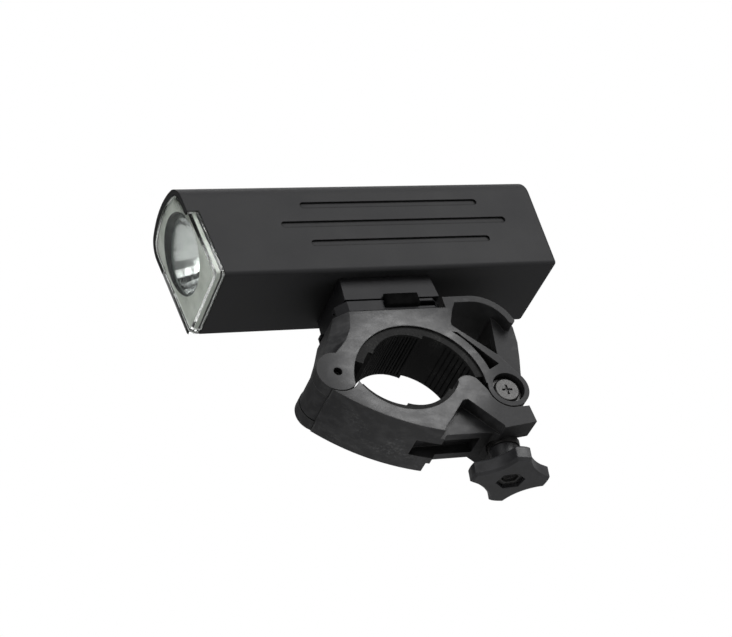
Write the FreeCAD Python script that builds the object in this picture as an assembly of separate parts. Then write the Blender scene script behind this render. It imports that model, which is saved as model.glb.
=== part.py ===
import FreeCAD, Part
import math
import os

os.makedirs("parts", exist_ok=True)

# Bike headlight on a two-jaw handlebar clamp, in millimetres.
# Origin at the centre of the gripped bar: the beam points along -X, the bar runs along Y, +Z is up.

# Clearances
RUNNING = 0.05          # radial play of a turning or sliding fit
FREE = 0.3              # space between pieces that move past each other
SEATED = 0.1            # space between pieces that are assembled together
OVERRUN = 1.0           # how far a cutting or joining shape runs past the face that it meets
REACH = 40.0            # how far a cut runs that leaves the jaws altogether

# Light housing
HALF_WIDTH = 13.9
LIGHT_BOTTOM = 29.6
LIGHT_HEIGHT = 32.8
CROWN_R = 30.0
SHOULDER_R = 6.0
BOTTOM_EDGE_R = 1.2
LEAST_EDGE_R = 0.4
WALL = 1.6
FRONT_X = -49.1         # lens front plane at the height of the housing's underside
FRONT_SLANT = 0.12      # the front leans forward by this much per millimetre of height
REAR_EDGE_R = 1.2
NOTCH_DEPTH = 3.3       # sides and underside stop this far behind the hood
NOTCH_HEIGHT = 21.0
GROOVE_WIDTH = 1.9
GROOVE_DEPTH = 0.5
GROOVE_FRONT = 23.0     # from the lens front to the middle groove
GROOVE_REAR = 11.3      # from the middle groove to the rear
GROOVE_SHORTER = 14.0   # the upper and lower grooves are shorter than the middle one
GROOVE_MID_HEIGHT = 15.8
GROOVE_PITCH = 6.4

# Optics
LENS_T = 1.6
WINDOW_MARGIN = 2.7     # from the housing's side to the window
WINDOW_HEIGHT = 17.3    # above the housing's underside
BEZEL_T = 1.0
BEZEL_TUBE_T = 0.5
SEAL_T = 0.4
SEAL_LENGTH = 3.0
REFLECTOR_HOLE_R = 3.0
REFLECTOR_FOCUS = 2.4
REFLECTOR_T = 0.7
LED_SIDE = 3.5
LED_BASE_T = 0.8
LED_DOME_R = 1.5
LED_BOARD_R = 7.0
LED_BOARD_T = 1.5
HEAT_SINK_LENGTH = 5.0
FLEX_WIDTH = 5.0
FLEX_T = 0.3
FLEX_LAP = 2.0          # how far the flat cable reaches down over the LED board

# Battery and electronics
CELL_R = 9.1
CELL_LENGTH = 65.0
CELL_NIPPLE_R = 2.8
CELL_NIPPLE_T = 1.0
HOLDER_T = 1.0
HOLDER_END_T = 1.5
HOLDER_FOOT_HALF = 4.5
SADDLE_LENGTH = 4.0
SPRING_GAP = 3.5
SPRING_R = 3.2
SPRING_WIRE_R = 0.35
SPRING_TURNS = 3.0
CONTACT_T = 0.4
BOARD_LIFT = 5.5        # from the cell's top to the underside of the board
BOARD_T = 1.2
BOARD_HALF_WIDTH = 8.0
BOARD_FRONT_X = 8.0
BOARD_REAR_GAP = 0.8
PORT_HALF_WIDTH = 4.5
PORT_HEIGHT = 3.2
PORT_LENGTH = 7.2
PORT_SHELL_T = 0.3
PORT_TONGUE_HALF = 3.35
PORT_TONGUE_T = 0.7
CHIP_SIDE = 5.0
CHIP_T = 1.0
CHIP_X = (13.0, 35.0)

# Power button and its switch
BUTTON_X = 26.0
BUTTON_R = 4.5
BUTTON_FLANGE = 0.8
BUTTON_FLANGE_T = 0.8
BUTTON_PROUD = 0.6
BUTTON_TRAVEL = 0.6
SWITCH_SIDE = 6.0
SWITCH_T = 1.3
SWITCH_FLOOR_T = 0.3
SWITCH_STEM_R = 1.75

# Rear cap with the charging port's flap
REAR_SPARE = 2.15       # from the cell holder to the cap's skirt
CAP_RECESS = 0.8
CAP_T = 2.0
CAP_SKIRT_T = 1.2
CAP_SKIRT_LENGTH = 3.6
REAR_SEAL_T = 0.5
REAR_SEAL_LENGTH = 1.6
CAP_SCREW_INSET = 3.7   # from the housing's side and from its underside
CAP_SCREW_R = 1.0
CAP_SCREW_HEAD_R = 1.8
CAP_SCREW_HEAD_T = 1.1
CAP_SCREW_LENGTH = 10.0
CAP_BOSS_R = 2.3
CAP_BOSS_LENGTH = 12.0
FLAP_HALF_WIDTH = 6.3
FLAP_T = 1.2
FLAP_MARGIN = 1.9
FLAP_BARREL_R = 0.8
FLAP_BARREL_HALF = 4.0
FLAP_PIN_R = 0.4
FLAP_EAR_T = 1.4

# Shoe under the light and the seat plate that takes it
SHOE_GAP = 0.5          # between the shoe and the seat's lips
SHOE_TOP_X = (-12.5, 14.1)
SHOE_BOTTOM_X = (-12.9, 15.0)
TONGUE_X = (-11.0, 13.4)
TONGUE_HALF = 6.4
TONGUE_NECK_HALF = 5.0
TONGUE_T = 0.9
SHOE_SCREW_X = (-8.0, 9.0)
SHOE_SCREW_Y = 7.0
SHOE_SCREW_R = 1.0
SHOE_SCREW_HEAD_R = 1.9
SHOE_SCREW_HEAD_T = 1.2
SHOE_SCREW_LENGTH = 5.0
SEAT_X = (-15.3, 15.5)
SEAT_T = 3.2
SEAT_FLOOR_T = 0.8
SEAT_LIP_T = 1.0
SEAT_CORNER = 2.8
SWIVEL_X = 0.4
HUB_R = 6.0
HUB_T = 1.6
SWIVEL_SCREW_R = 1.5
SWIVEL_HEAD_R = 2.8
SWIVEL_HEAD_T = 1.3
SWIVEL_WALL = 1.8       # jaw wall between the hub's pocket and the washer
SWIVEL_WASHER_R = 3.0
SWIVEL_WASHER_T = 0.4
SWIVEL_NUT_R = 3.1
SWIVEL_NUT_T = 2.0
NUT_SKIN = 0.3
TAB_X = (-1.7, 8.3)
TAB_TRAVEL = 4.0
TAB_PROUD = 1.0
TAB_RISE = 1.4          # the tab's thumb face stands this far above the seat
TAB_STEM_T = 1.5
TAB_FOOT_T = 2.0
TAB_FOOT_DEPTH = 1.2
TAB_SLOT_DEPTH = 2.6
TAB_SLOT_SPARE = 1.5    # slot left over beyond the tab's travel

# Clamp jaws: profiles are (x, z) points of the side view
BAR_R = 11.1
JAW_HALF_WIDTH = 10.0   # the shoe and the seat are as wide
UPPER_BORE = (1.3, -5.1)
UPPER_BORE_R = 18.7
LOWER_BORE = (-1.5, 3.0)
LOWER_BORE_R = 15.75
JAW_TOP = 18.9
PIN = (-21.2, 0.3)
PIN_R = 1.2
EAR_R = 5.8
EAR_T = 4.0
KNUCKLE_R = 5.6
FACET_DEPTH = 3.0       # the jaw's front corners are bevelled this far in from each face
BROW_X = -16.5          # front end of the jaw's flat top, then the brow below it
BROW = ((-19.0, 13.5), (-22.0, 8.0), (-24.4, 3.5))
BROW_FACE_X = -12.6     # the same at the jaw's faces
BROW_FACE = ((-13.9, 13.6), (-16.2, 9.9), (-22.4, 3.9))
FIN_T = 1.9
FIN_TOP = 22.4
FIN_X = (15.0, 22.6)    # where the arm's flat top starts and ends
FIN_BEND = (30.4, 20.2)
FIN_BEND_ANGLE = 47.0
FIN_TIP = (34.7, 14.6)
FIN_TIP_ANGLE = 27.0
FIN_NOSE = (34.6, 13.0)
FIN_UNDER_X = (18.9, 23.0)
FIN_ROOT = ((17.4, 18.0), (15.8, 14.1), (13.0, 14.1))
FIN_CLEAR_R = 18.3      # nothing of the jaw stands in this circle round the swivel above the jaw's top
RIB_T = 1.8
RIB_X = 17.0            # rear end of the jaw's flat top
RIB_HEAD = (15.6, 13.1)
RIB_FOOT = (26.4, 2.6)
RIB_BOSS_ANGLE = 38.0
COLUMN_HALF_WIDTH = 6.0
COLUMN_FRONT = ((30.6, 18.0), (28.8, 7.0), (28.0, 0.0))
COLUMN_BACK = ((33.6, -0.8), (34.8, 3.6), (36.0, 9.0), (36.3, 14.2), (35.0, 16.4), (33.6, 17.2))
POCKET_DEPTH = 6.8
POCKET_ANGLES = (9.0, 29.0, 49.0)
BORE_WALL = 2.5
LOWER_BORE_ANGLES = (197.0, 260.0, 324.0)
LOWER_BORE_X = (-17.0, 12.0)
HORN = ((11.9, -4.5), (14.6, -3.2), (17.8, -4.8))
SADDLE_ANGLES = (186.0, 222.0, 264.0)
FORK_END = ((30.1, -13.8), (30.6, -18.9), (21.0, -20.0), (19.6, -18.8))
KEEL = ((5.6, -18.8), (4.6, -20.0))
CHIN_MIDDLE = (-9.6, -14.9)
CHIN_END = (-24.2, -5.0)
NECK = ((-15.6, -3.4), (-14.6, -9.0))
LOWER_RECESS = ((3.6, -19.2), (11.4, -10.8), (12.9, -10.6), (20.9, -19.3))
LOWER_RECESS_DEPTH = 4.0
KEEL_SLOT_X = (-2.0, 16.4)
KEEL_SLOT_TOP = -16.0
KEEL_SLOT_HALF = 3.5

# Barrel nut, clamp screw and knob, measured from the barrel's centre along the tilted screw axis
BARREL = (26.0, -7.7)
BARREL_R = 4.5
BARREL_RECESS = 1.1
BOSS_R = 5.9
SCREW_TILT = 8.0
SCREW_R = 2.5
SCREW_TIP = 18.0
SCREW_SLOT_HALF = 3.2
SCREW_SLOT_TOP = 12.5
FORK_SLOT_HALF = 2.9
FORK_SEAT = 11.6
WASHER_R = 4.4
COLLAR_R = 4.0
COLLAR_START = 13.5
KNOB_START = 18.6
KNOB_END = 23.1
KNOB_R = 10.8
KNOB_VALLEY_R = 7.5
KNOB_LOBES = 4
KNOB_LOBE_HALF_ANGLE = 11.0
KNOB_BEVEL = 0.7
HEX_R = 4.0
HEX_PHASE = 40.0
HEX_DEPTH = 3.4
HEAD_T = 2.4

# Rubber pads
PAD_HALF_WIDTH = 9.4
UPPER_PAD_R = 16.4
UPPER_PAD_ENDS = (5.0, 152.0)       # degrees round the upper bore
UPPER_SEAT_ANGLES = (58.0, 150.0)   # degrees round the bar
LOWER_PAD_CENTRE = (-1.3, 4.6)
LOWER_PAD_R = 15.9
LOWER_PAD_ENDS = (206.0, 322.0)
LOWER_SEAT_ANGLES = (248.0, 324.0)
PAD_GROOVE = 0.4
PAD_GROOVE_DEPTH = 0.7
PAD_GROOVE_STEP = 9.0

# Heights and places that follow from the values above
SIDE = FreeCAD.Vector(0, 1, 0)
LIGHT_TOP = LIGHT_BOTTOM + LIGHT_HEIGHT
CROWN_Z = LIGHT_TOP - CROWN_R
SHOULDER_Y = HALF_WIDTH - SHOULDER_R
SHOULDER_Z = CROWN_Z + math.sqrt((CROWN_R - SHOULDER_R) ** 2 - SHOULDER_Y ** 2)
FLOOR_Z = LIGHT_BOTTOM + WALL
WINDOW_Z = LIGHT_BOTTOM + WINDOW_HEIGHT
NOTCH_Z = LIGHT_BOTTOM + NOTCH_HEIGHT
WINDOW_R = HALF_WIDTH - WINDOW_MARGIN
REFLECTOR_RIM_R = WINDOW_R - FREE
REFLECTOR_LOW = WINDOW_HEIGHT - REFLECTOR_RIM_R - REFLECTOR_T
REFLECTOR_RIM_X = FRONT_X - FRONT_SLANT * REFLECTOR_LOW + LENS_T + BEZEL_T + 2 * SEATED
REFLECTOR_DEPTH = (REFLECTOR_RIM_R ** 2 - REFLECTOR_HOLE_R ** 2) / (4 * REFLECTOR_FOCUS)
REFLECTOR_BACK_X = REFLECTOR_RIM_X + REFLECTOR_DEPTH
LED_BOARD_X = REFLECTOR_BACK_X + SEATED
HEAT_SINK_X = LED_BOARD_X + LED_BOARD_T
HOLDER_X = HEAT_SINK_X + HEAT_SINK_LENGTH + SEATED
SPRING_X = HOLDER_X + HOLDER_END_T
CELL_X = SPRING_X + SPRING_GAP
CONTACT_X = CELL_X + CELL_LENGTH + CELL_NIPPLE_T
HOLDER_BACK_X = CONTACT_X + CONTACT_T
HOLDER_R = CELL_R + SEATED + HOLDER_T
CELL_Z = FLOOR_Z + HOLDER_R
BOARD_Z = CELL_Z + CELL_R + BOARD_LIFT
CAP_SKIRT_X = HOLDER_BACK_X + HOLDER_END_T + REAR_SPARE
CAP_INNER_X = CAP_SKIRT_X + CAP_SKIRT_LENGTH
CAP_FACE_X = CAP_INNER_X + CAP_T
REAR_X = CAP_FACE_X + CAP_RECESS
CAP_SCREW_Y = HALF_WIDTH - CAP_SCREW_INSET
CAP_SCREW_Z = LIGHT_BOTTOM + CAP_SCREW_INSET
BOARD_REAR_X = CAP_INNER_X - BOARD_REAR_GAP
PORT_Z = BOARD_Z - PORT_HEIGHT
FLAP_BOTTOM_Z = PORT_Z - FLAP_MARGIN
FLAP_HINGE_Z = BOARD_Z + FLAP_MARGIN + FLAP_BARREL_R
FLAP_X = CAP_FACE_X - FLAP_T / 2 - SEATED
FLAP_POCKET_X = FLAP_X - FLAP_BARREL_R - FREE / 2
SHOE_HALF_WIDTH = JAW_HALF_WIDTH
SEAT_HALF_WIDTH = JAW_HALF_WIDTH
SEAT_BOTTOM = JAW_TOP + SEATED
SEAT_TOP = SEAT_BOTTOM + SEAT_T
SHOE_BOTTOM = SEAT_TOP + SHOE_GAP
TONGUE_TOP = SEAT_TOP - SEAT_LIP_T - SEATED - FREE / 2
TAB_TOP = SEAT_TOP + TAB_RISE
CHANNEL_FLOOR = SEAT_BOTTOM + SEAT_FLOOR_T
HUB_BOTTOM = SEAT_BOTTOM - HUB_T
HUB_POCKET = HUB_BOTTOM - SEATED
WASHER_TOP = HUB_POCKET - SWIVEL_WALL - SEATED
NUT_TOP = WASHER_TOP - SWIVEL_WASHER_T
NUT_BOTTOM = NUT_TOP - SWIVEL_NUT_T
EAR_INNER = JAW_HALF_WIDTH - EAR_T
BUTTON_FLANGE_TOP = CROWN_Z + math.sqrt((CROWN_R - WALL) ** 2 - (BUTTON_R + BUTTON_FLANGE) ** 2) - FREE / 2
BUTTON_FLANGE_BOTTOM = BUTTON_FLANGE_TOP - BUTTON_FLANGE_T
SWITCH_Z = BOARD_Z + BOARD_T
SWITCH_STEM_Z = SWITCH_Z + SWITCH_FLOOR_T + BUTTON_TRAVEL + FREE


# Plain shapes

def vec(x, y, z):
    return FreeCAD.Vector(x, y, z)


def box(x0, x1, y0, y1, z0, z1):
    return Part.makeBox(x1 - x0, y1 - y0, z1 - z0, vec(x0, y0, z0))


def cyl_x(y, z, r, x0, x1):
    return Part.makeCylinder(r, x1 - x0, vec(x0, y, z), vec(1, 0, 0))


def cyl_y(x, z, r, y0, y1):
    return Part.makeCylinder(r, y1 - y0, vec(x, y0, z), SIDE)


def cyl_z(x, y, r, z0, z1):
    return Part.makeCylinder(r, z1 - z0, vec(x, y, z0), vec(0, 0, 1))


def joined(*shapes):
    return shapes[0].fuse(list(shapes[1:])).removeSplitter()


def less(shape, *tools):
    return shape.cut(list(tools))


def polar(centre, r, degrees):
    turn = math.radians(degrees)
    return (centre[0] + r * math.cos(turn), centre[1] + r * math.sin(turn))


def face_xz(y, start, steps):
    """A face at depth y: a step is an (x, z) point, or a pair (middle, end) for an arc."""
    edges = []
    here = vec(start[0], y, start[1])
    for step in list(steps) + [start]:
        if isinstance(step[0], tuple):
            middle = vec(step[0][0], y, step[0][1])
            there = vec(step[1][0], y, step[1][1])
            edges.append(Part.Arc(here, middle, there).toShape())
        else:
            there = vec(step[0], y, step[1])
            edges.append(Part.LineSegment(here, there).toShape())
        here = there
    return Part.Face(Part.Wire(edges))


def slab(start, steps, y0, y1):
    return face_xz(y0, start, steps).extrude(vec(0, y1 - y0, 0))


def full_slab(start, steps, half_width):
    return slab(start, steps, -half_width, half_width)


def sector(centre, r, from_deg, to_deg, half_width):
    """A pie slice seen along Y."""
    rim = (polar(centre, r, (from_deg + to_deg) / 2), polar(centre, r, to_deg))
    return full_slab(centre, [polar(centre, r, from_deg), rim], half_width)


def plan_prism(points, z0, z1):
    corners = [vec(x, y, z0) for x, y in points]
    return Part.Face(Part.makePolygon(corners + corners[:1])).extrude(vec(0, 0, z1 - z0))


def export(name, shape):
    shape.exportStep(os.path.join("parts", name + ".step"))


# The light's cross-section

def light_section(inset, x):
    """The housing's outline, drawn in by an even inset: flat floor, upright sides, crowned roof."""
    half = HALF_WIDTH - inset
    floor = LIGHT_BOTTOM + inset
    corner = max(BOTTOM_EDGE_R - inset, LEAST_EDGE_R)
    shoulder_r = SHOULDER_R - inset
    crown_r = CROWN_R - inset
    lean = math.atan2(SHOULDER_Y, SHOULDER_Z - CROWN_Z)
    meet = (crown_r * math.sin(lean), CROWN_Z + crown_r * math.cos(lean))
    mid = (math.pi / 2 - lean) / 2
    bend = (SHOULDER_Y + shoulder_r * math.cos(mid), SHOULDER_Z + shoulder_r * math.sin(mid))
    nook = corner * (1 - math.cos(math.pi / 4))

    def point(y, z):
        return vec(x, y, z)

    edges = [
        Part.LineSegment(point(corner - half, floor), point(half - corner, floor)),
        Part.Arc(point(half - corner, floor), point(half - nook, floor + nook), point(half, floor + corner)),
        Part.LineSegment(point(half, floor + corner), point(half, SHOULDER_Z)),
        Part.Arc(point(half, SHOULDER_Z), point(*bend), point(*meet)),
        Part.Arc(point(*meet), point(0, CROWN_Z + crown_r), point(-meet[0], meet[1])),
        Part.Arc(point(-meet[0], meet[1]), point(-bend[0], bend[1]), point(-half, SHOULDER_Z)),
        Part.LineSegment(point(-half, SHOULDER_Z), point(-half, floor + corner)),
        Part.Arc(point(-half, floor + corner), point(nook - half, floor + nook), point(corner - half, floor)),
    ]
    return Part.Face(Part.Wire([edge.toShape() for edge in edges]))


def light_prism(inset, x0, x1):
    return light_section(inset, x0).extrude(vec(x1 - x0, 0, 0))


def front_x(z, setback):
    return FRONT_X + setback - FRONT_SLANT * (z - LIGHT_BOTTOM)


def slanted(inset, setback0, setback1):
    """A slice of the cross-section between two planes parallel to the slanted front."""
    low = LIGHT_BOTTOM - WALL
    high = LIGHT_TOP + WALL
    start = (front_x(low, setback0), low)
    steps = [(front_x(low, setback1), low), (front_x(high, setback1), high), (front_x(high, setback0), high)]
    window = full_slab(start, steps, HALF_WIDTH + WALL)
    first = front_x(high, setback0) - WALL
    last = front_x(low, setback1) + WALL
    return light_prism(inset, first, last).common(window)


def below(z):
    far = REAR_X - FRONT_X
    return box(FRONT_X - far, REAR_X + far, -2 * HALF_WIDTH, 2 * HALF_WIDTH, LIGHT_BOTTOM - HALF_WIDTH, z)


# Light housing

def side_grooves():
    tools = []
    for row in (-1, 0, 1):
        z = LIGHT_BOTTOM + GROOVE_MID_HEIGHT + row * GROOVE_PITCH
        r = GROOVE_WIDTH / 2
        inset = GROOVE_SHORTER * abs(row) / 2 + r
        x0 = FRONT_X + GROOVE_FRONT + inset
        x1 = REAR_X - GROOVE_REAR - inset
        y0 = HALF_WIDTH - GROOVE_DEPTH
        y1 = HALF_WIDTH + GROOVE_DEPTH
        tools.append(box(x0, x1, y0, y1, z - r, z + r))
        tools.append(cyl_y(x0, z, r, y0, y1))
        tools.append(cyl_y(x1, z, r, y0, y1))
    cutter = joined(*tools)
    return [cutter, cutter.mirror(vec(0, 0, 0), SIDE)]


def rounded_rear(prism):
    rear = [edge for edge in prism.Edges if all(abs(v.X - REAR_X) < 0.01 for v in edge.Vertexes)]
    return prism.makeFillet(REAR_EDGE_R, rear)


def shoe_screw_places():
    return [(x, y) for x in SHOE_SCREW_X for y in (-SHOE_SCREW_Y, SHOE_SCREW_Y)]


def housing():
    long_front = front_x(LIGHT_TOP, 0) - WALL
    shell = rounded_rear(light_prism(0, long_front, REAR_X))
    ahead = slanted(-WALL, -3 * NOTCH_DEPTH, 0)
    notch = slanted(-WALL, -NOTCH_DEPTH, NOTCH_DEPTH).common(below(NOTCH_Z))
    shell = less(shell, ahead, notch, *side_grooves())
    shell = less(shell, light_prism(WALL, long_front - WALL, REAR_X + WALL))
    inner = light_prism(WALL / 2, long_front, REAR_X)
    boss_x0 = CAP_SKIRT_X - SEATED - CAP_BOSS_LENGTH
    for y in (-CAP_SCREW_Y, CAP_SCREW_Y):
        boss = cyl_x(y, CAP_SCREW_Z, CAP_BOSS_R, boss_x0, CAP_SKIRT_X - SEATED).common(inner)
        shell = less(shell.fuse(boss), cyl_x(y, CAP_SCREW_Z, CAP_SCREW_R, boss_x0 + WALL, REAR_X))
    hole_r = BUTTON_R + 2 * RUNNING
    holes = [cyl_z(BUTTON_X, 0, hole_r, SHOULDER_Z, LIGHT_TOP + WALL)]
    for x, y in shoe_screw_places():
        holes.append(cyl_z(x, y, SHOE_SCREW_R + SEATED, LIGHT_BOTTOM - WALL, FLOOR_Z + SEATED))
    return less(shell, *holes).removeSplitter()


# Optics

def front_lens():
    plate = slanted(SEATED, 0, LENS_T).common(below(NOTCH_Z - SEATED))
    hooded = slanted(WALL + SEATED, 0, LENS_T)
    skirt = slanted(SEATED, LENS_T, NOTCH_DEPTH - SEATED).common(below(NOTCH_Z - SEATED))
    skirt = less(skirt, slanted(WALL, LENS_T / 2, NOTCH_DEPTH + WALL))
    return joined(plate, hooded, skirt)


def bezel():
    back = LENS_T + SEATED
    plate = slanted(WALL + SEATED, back, back + BEZEL_T)
    tube_x0 = front_x(WINDOW_Z - WINDOW_R, back)
    start_x = front_x(WINDOW_Z + WINDOW_R, back) - WALL
    outer = cyl_x(0, WINDOW_Z, WINDOW_R + BEZEL_TUBE_T, start_x, REFLECTOR_RIM_X - SEATED)
    outer = outer.common(slanted(WALL + SEATED, back, back + REFLECTOR_RIM_X - tube_x0 + 2 * WINDOW_R))
    hole = cyl_x(0, WINDOW_Z, WINDOW_R, start_x - WALL, REFLECTOR_RIM_X + WALL)
    return less(joined(plate, outer), hole)


def lens_seal():
    start = LENS_T + BEZEL_T + 2 * SEATED
    band = slanted(WALL + RUNNING, start, start + SEAL_LENGTH)
    return less(band, slanted(WALL + RUNNING + SEAL_T, start - WALL, start + SEAL_LENGTH + WALL))


def parabola_points(extra):
    """Points of the cup's wall from its back hole to its rim; extra moves the curve outward."""
    count = 7
    points = []
    for i in range(count):
        r = REFLECTOR_HOLE_R + (REFLECTOR_RIM_R - REFLECTOR_HOLE_R) * i / (count - 1)
        depth = (r ** 2 - REFLECTOR_HOLE_R ** 2) / (4 * REFLECTOR_FOCUS)
        points.append(vec(REFLECTOR_BACK_X - depth, 0, WINDOW_Z + r + extra))
    return points


def reflector():
    inner = parabola_points(0)
    outer = parabola_points(REFLECTOR_T)
    inside = Part.BSplineCurve()
    inside.interpolate(inner)
    outside = Part.BSplineCurve()
    outside.interpolate(outer)
    wire = Part.Wire([
        inside.toShape(),
        Part.LineSegment(inner[-1], outer[-1]).toShape(),
        outside.toShape(),
        Part.LineSegment(outer[0], inner[0]).toShape(),
    ])
    return Part.Face(wire).revolve(vec(0, 0, WINDOW_Z), vec(1, 0, 0), 360)


def led_emitter():
    half = LED_SIDE / 2
    base = box(LED_BOARD_X - LED_BASE_T, LED_BOARD_X, -half, half, WINDOW_Z - half, WINDOW_Z + half)
    ball = Part.makeSphere(LED_DOME_R, vec(LED_BOARD_X - LED_BASE_T, 0, WINDOW_Z))
    front = box(LED_BOARD_X - LED_SIDE, LED_BOARD_X, -half, half, WINDOW_Z - half, WINDOW_Z + half)
    return joined(base, ball.common(front))


def led_board():
    return cyl_x(0, WINDOW_Z, LED_BOARD_R, LED_BOARD_X, LED_BOARD_X + LED_BOARD_T)


def flex_room():
    half = FLEX_WIDTH / 2 + FREE
    x0 = HEAT_SINK_X - OVERRUN
    x1 = HOLDER_X + HOLDER_END_T + OVERRUN
    return box(x0, x1, -half, half, BOARD_Z - FLEX_T - FREE, LIGHT_TOP)


def heat_sink():
    block = light_prism(WALL + SEATED, HEAT_SINK_X, HEAT_SINK_X + HEAT_SINK_LENGTH)
    return less(block, flex_room())


def led_flex():
    half = FLEX_WIDTH / 2
    top = BOARD_Z
    low = top - FLEX_T
    x0 = LED_BOARD_X - FLEX_T
    bend = WINDOW_Z + LED_BOARD_R - FLEX_LAP
    corner = (x0, top)
    steps = [(LED_BOARD_X, bend), (LED_BOARD_X, low), (BOARD_FRONT_X + SADDLE_LENGTH / 2, low)]
    steps += [(BOARD_FRONT_X + SADDLE_LENGTH / 2, top), corner]
    return full_slab((x0, bend), steps, half)


# Battery and electronics

def battery_cell():
    body = cyl_x(0, CELL_Z, CELL_R, CELL_X, CELL_X + CELL_LENGTH)
    nipple = cyl_x(0, CELL_Z, CELL_NIPPLE_R, CELL_X + CELL_LENGTH, CONTACT_X)
    return joined(body, nipple)


def cell_holder():
    end_x = HOLDER_BACK_X + HOLDER_END_T
    tray = cyl_x(0, CELL_Z, HOLDER_R, HOLDER_X, end_x)
    tray = tray.common(box(HOLDER_X, end_x, -HOLDER_R, HOLDER_R, FLOOR_Z, CELL_Z))
    foot = box(HOLDER_X, end_x, -HOLDER_FOOT_HALF, HOLDER_FOOT_HALF, FLOOR_Z, FLOOR_Z + HOLDER_T)
    front_wall = cyl_x(0, CELL_Z, HOLDER_R, HOLDER_X, SPRING_X)
    rear_wall = cyl_x(0, CELL_Z, HOLDER_R, HOLDER_BACK_X, end_x)
    half = HOLDER_FOOT_HALF
    rear_post = box(HOLDER_BACK_X, end_x, -half, half, CELL_Z, BOARD_Z - SEATED)
    saddle_x = BOARD_FRONT_X
    saddle = cyl_x(0, CELL_Z, HOLDER_R, saddle_x, saddle_x + SADDLE_LENGTH)
    low_z = BOARD_Z - FLEX_T - SEATED
    post = box(saddle_x, saddle_x + SADDLE_LENGTH, -half, half, CELL_Z, low_z)
    solid = joined(tray, foot, front_wall, rear_wall, rear_post, saddle, post)
    boss_room = [cyl_x(y, CAP_SCREW_Z, CAP_BOSS_R + FREE, HOLDER_X, end_x) for y in (-CAP_SCREW_Y, CAP_SCREW_Y)]
    return less(solid, cyl_x(0, CELL_Z, CELL_R + SEATED, SPRING_X, HOLDER_BACK_X), port_room(), *boss_room)


def port_room():
    """Space behind the charging inlet's shell."""
    x0 = CAP_FACE_X - FLAP_T - PORT_LENGTH - 2 * SEATED
    half = PORT_HALF_WIDTH + FREE
    return box(x0 - FREE, REAR_X, -half, half, PORT_Z - FREE, BOARD_Z)


def contact_spring():
    """A short coil of wire between the holder's front wall and the cell."""
    length = SPRING_GAP - 2 * SPRING_WIRE_R - 2 * SEATED
    pitch = length / SPRING_TURNS
    helix = Part.makeHelix(pitch, length, SPRING_R)
    circle = Part.Wire(Part.Circle(vec(SPRING_R, 0, 0), SIDE, SPRING_WIRE_R).toShape())
    coil = Part.Wire(helix.Edges).makePipeShell([circle], True, True)
    coil.rotate(vec(0, 0, 0), SIDE, 90)
    coil.translate(vec(SPRING_X + SPRING_WIRE_R + SEATED, 0, CELL_Z))
    return coil


def contact_plate():
    return cyl_x(0, CELL_Z, CELL_R - HOLDER_T, CONTACT_X, HOLDER_BACK_X)


def driver_board():
    half = BOARD_HALF_WIDTH
    board = box(BOARD_FRONT_X, BOARD_REAR_X, -half, half, BOARD_Z, BOARD_Z + BOARD_T)
    top = BOARD_Z + BOARD_T
    chips = []
    for x in CHIP_X:
        side = CHIP_SIDE / 2
        chips.append(box(x - side, x + side, -side, side, top, top + CHIP_T))
    return joined(board, *chips)


def charging_port():
    x1 = FLAP_POCKET_X
    x0 = x1 - PORT_LENGTH
    half = PORT_HALF_WIDTH
    shell = box(x0, x1, -half, half, PORT_Z, BOARD_Z)
    t = PORT_SHELL_T
    cavity = box(x0 + 2 * t, x1 + t, t - half, half - t, PORT_Z + t, BOARD_Z - t)
    mid = (PORT_Z + BOARD_Z) / 2
    thin = PORT_TONGUE_T / 2
    tongue = box(x0 + t, x1 - 2 * t, -PORT_TONGUE_HALF, PORT_TONGUE_HALF, mid - thin, mid + thin)
    return joined(less(shell, cavity), tongue)


# Power button and switch

def power_button():
    proud = LIGHT_TOP + BUTTON_PROUD
    cap = cyl_z(BUTTON_X, 0, BUTTON_R, BUTTON_FLANGE_BOTTOM, proud)
    rim = [edge for edge in cap.Edges if abs(edge.BoundBox.ZMin - proud) < 0.01]
    cap = cap.makeFillet(BUTTON_PROUD / 2, rim)
    flange = cyl_z(BUTTON_X, 0, BUTTON_R + BUTTON_FLANGE, BUTTON_FLANGE_BOTTOM, BUTTON_FLANGE_TOP)
    return joined(cap, flange)


def switch_stem():
    return cyl_z(BUTTON_X, 0, SWITCH_STEM_R, SWITCH_STEM_Z, BUTTON_FLANGE_BOTTOM)


def tact_switch():
    half = SWITCH_SIDE / 2
    top = SWITCH_Z + SWITCH_T
    body = box(BUTTON_X - half, BUTTON_X + half, -half, half, SWITCH_Z, top)
    well = cyl_z(BUTTON_X, 0, SWITCH_STEM_R + RUNNING, SWITCH_Z + SWITCH_FLOOR_T, top + OVERRUN)
    return less(body, well)


# Rear cap

def rear_cap():
    plate = light_prism(WALL + SEATED, CAP_INNER_X, CAP_FACE_X)
    skirt = light_prism(WALL + SEATED + REAR_SEAL_T, CAP_SKIRT_X, CAP_INNER_X)
    inner = light_prism(WALL + SEATED + REAR_SEAL_T + CAP_SKIRT_T, CAP_SKIRT_X - OVERRUN, CAP_INNER_X)
    bosses = []
    holes = []
    for y in (-CAP_SCREW_Y, CAP_SCREW_Y):
        bosses.append(cyl_x(y, CAP_SCREW_Z, CAP_BOSS_R, CAP_SKIRT_X, CAP_INNER_X).common(skirt))
        holes.append(cyl_x(y, CAP_SCREW_Z, CAP_SCREW_R + SEATED, CAP_SKIRT_X - OVERRUN, REAR_X))
        sunk = CAP_FACE_X - CAP_SCREW_HEAD_T - SEATED
        holes.append(cyl_x(y, CAP_SCREW_Z, CAP_SCREW_HEAD_R + SEATED, sunk, REAR_X))
    body = joined(plate, less(skirt, inner), *bosses)
    body = less(body, *holes, board_room(), port_room(), flap_pocket())
    return joined(body, *flap_ears())


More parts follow.
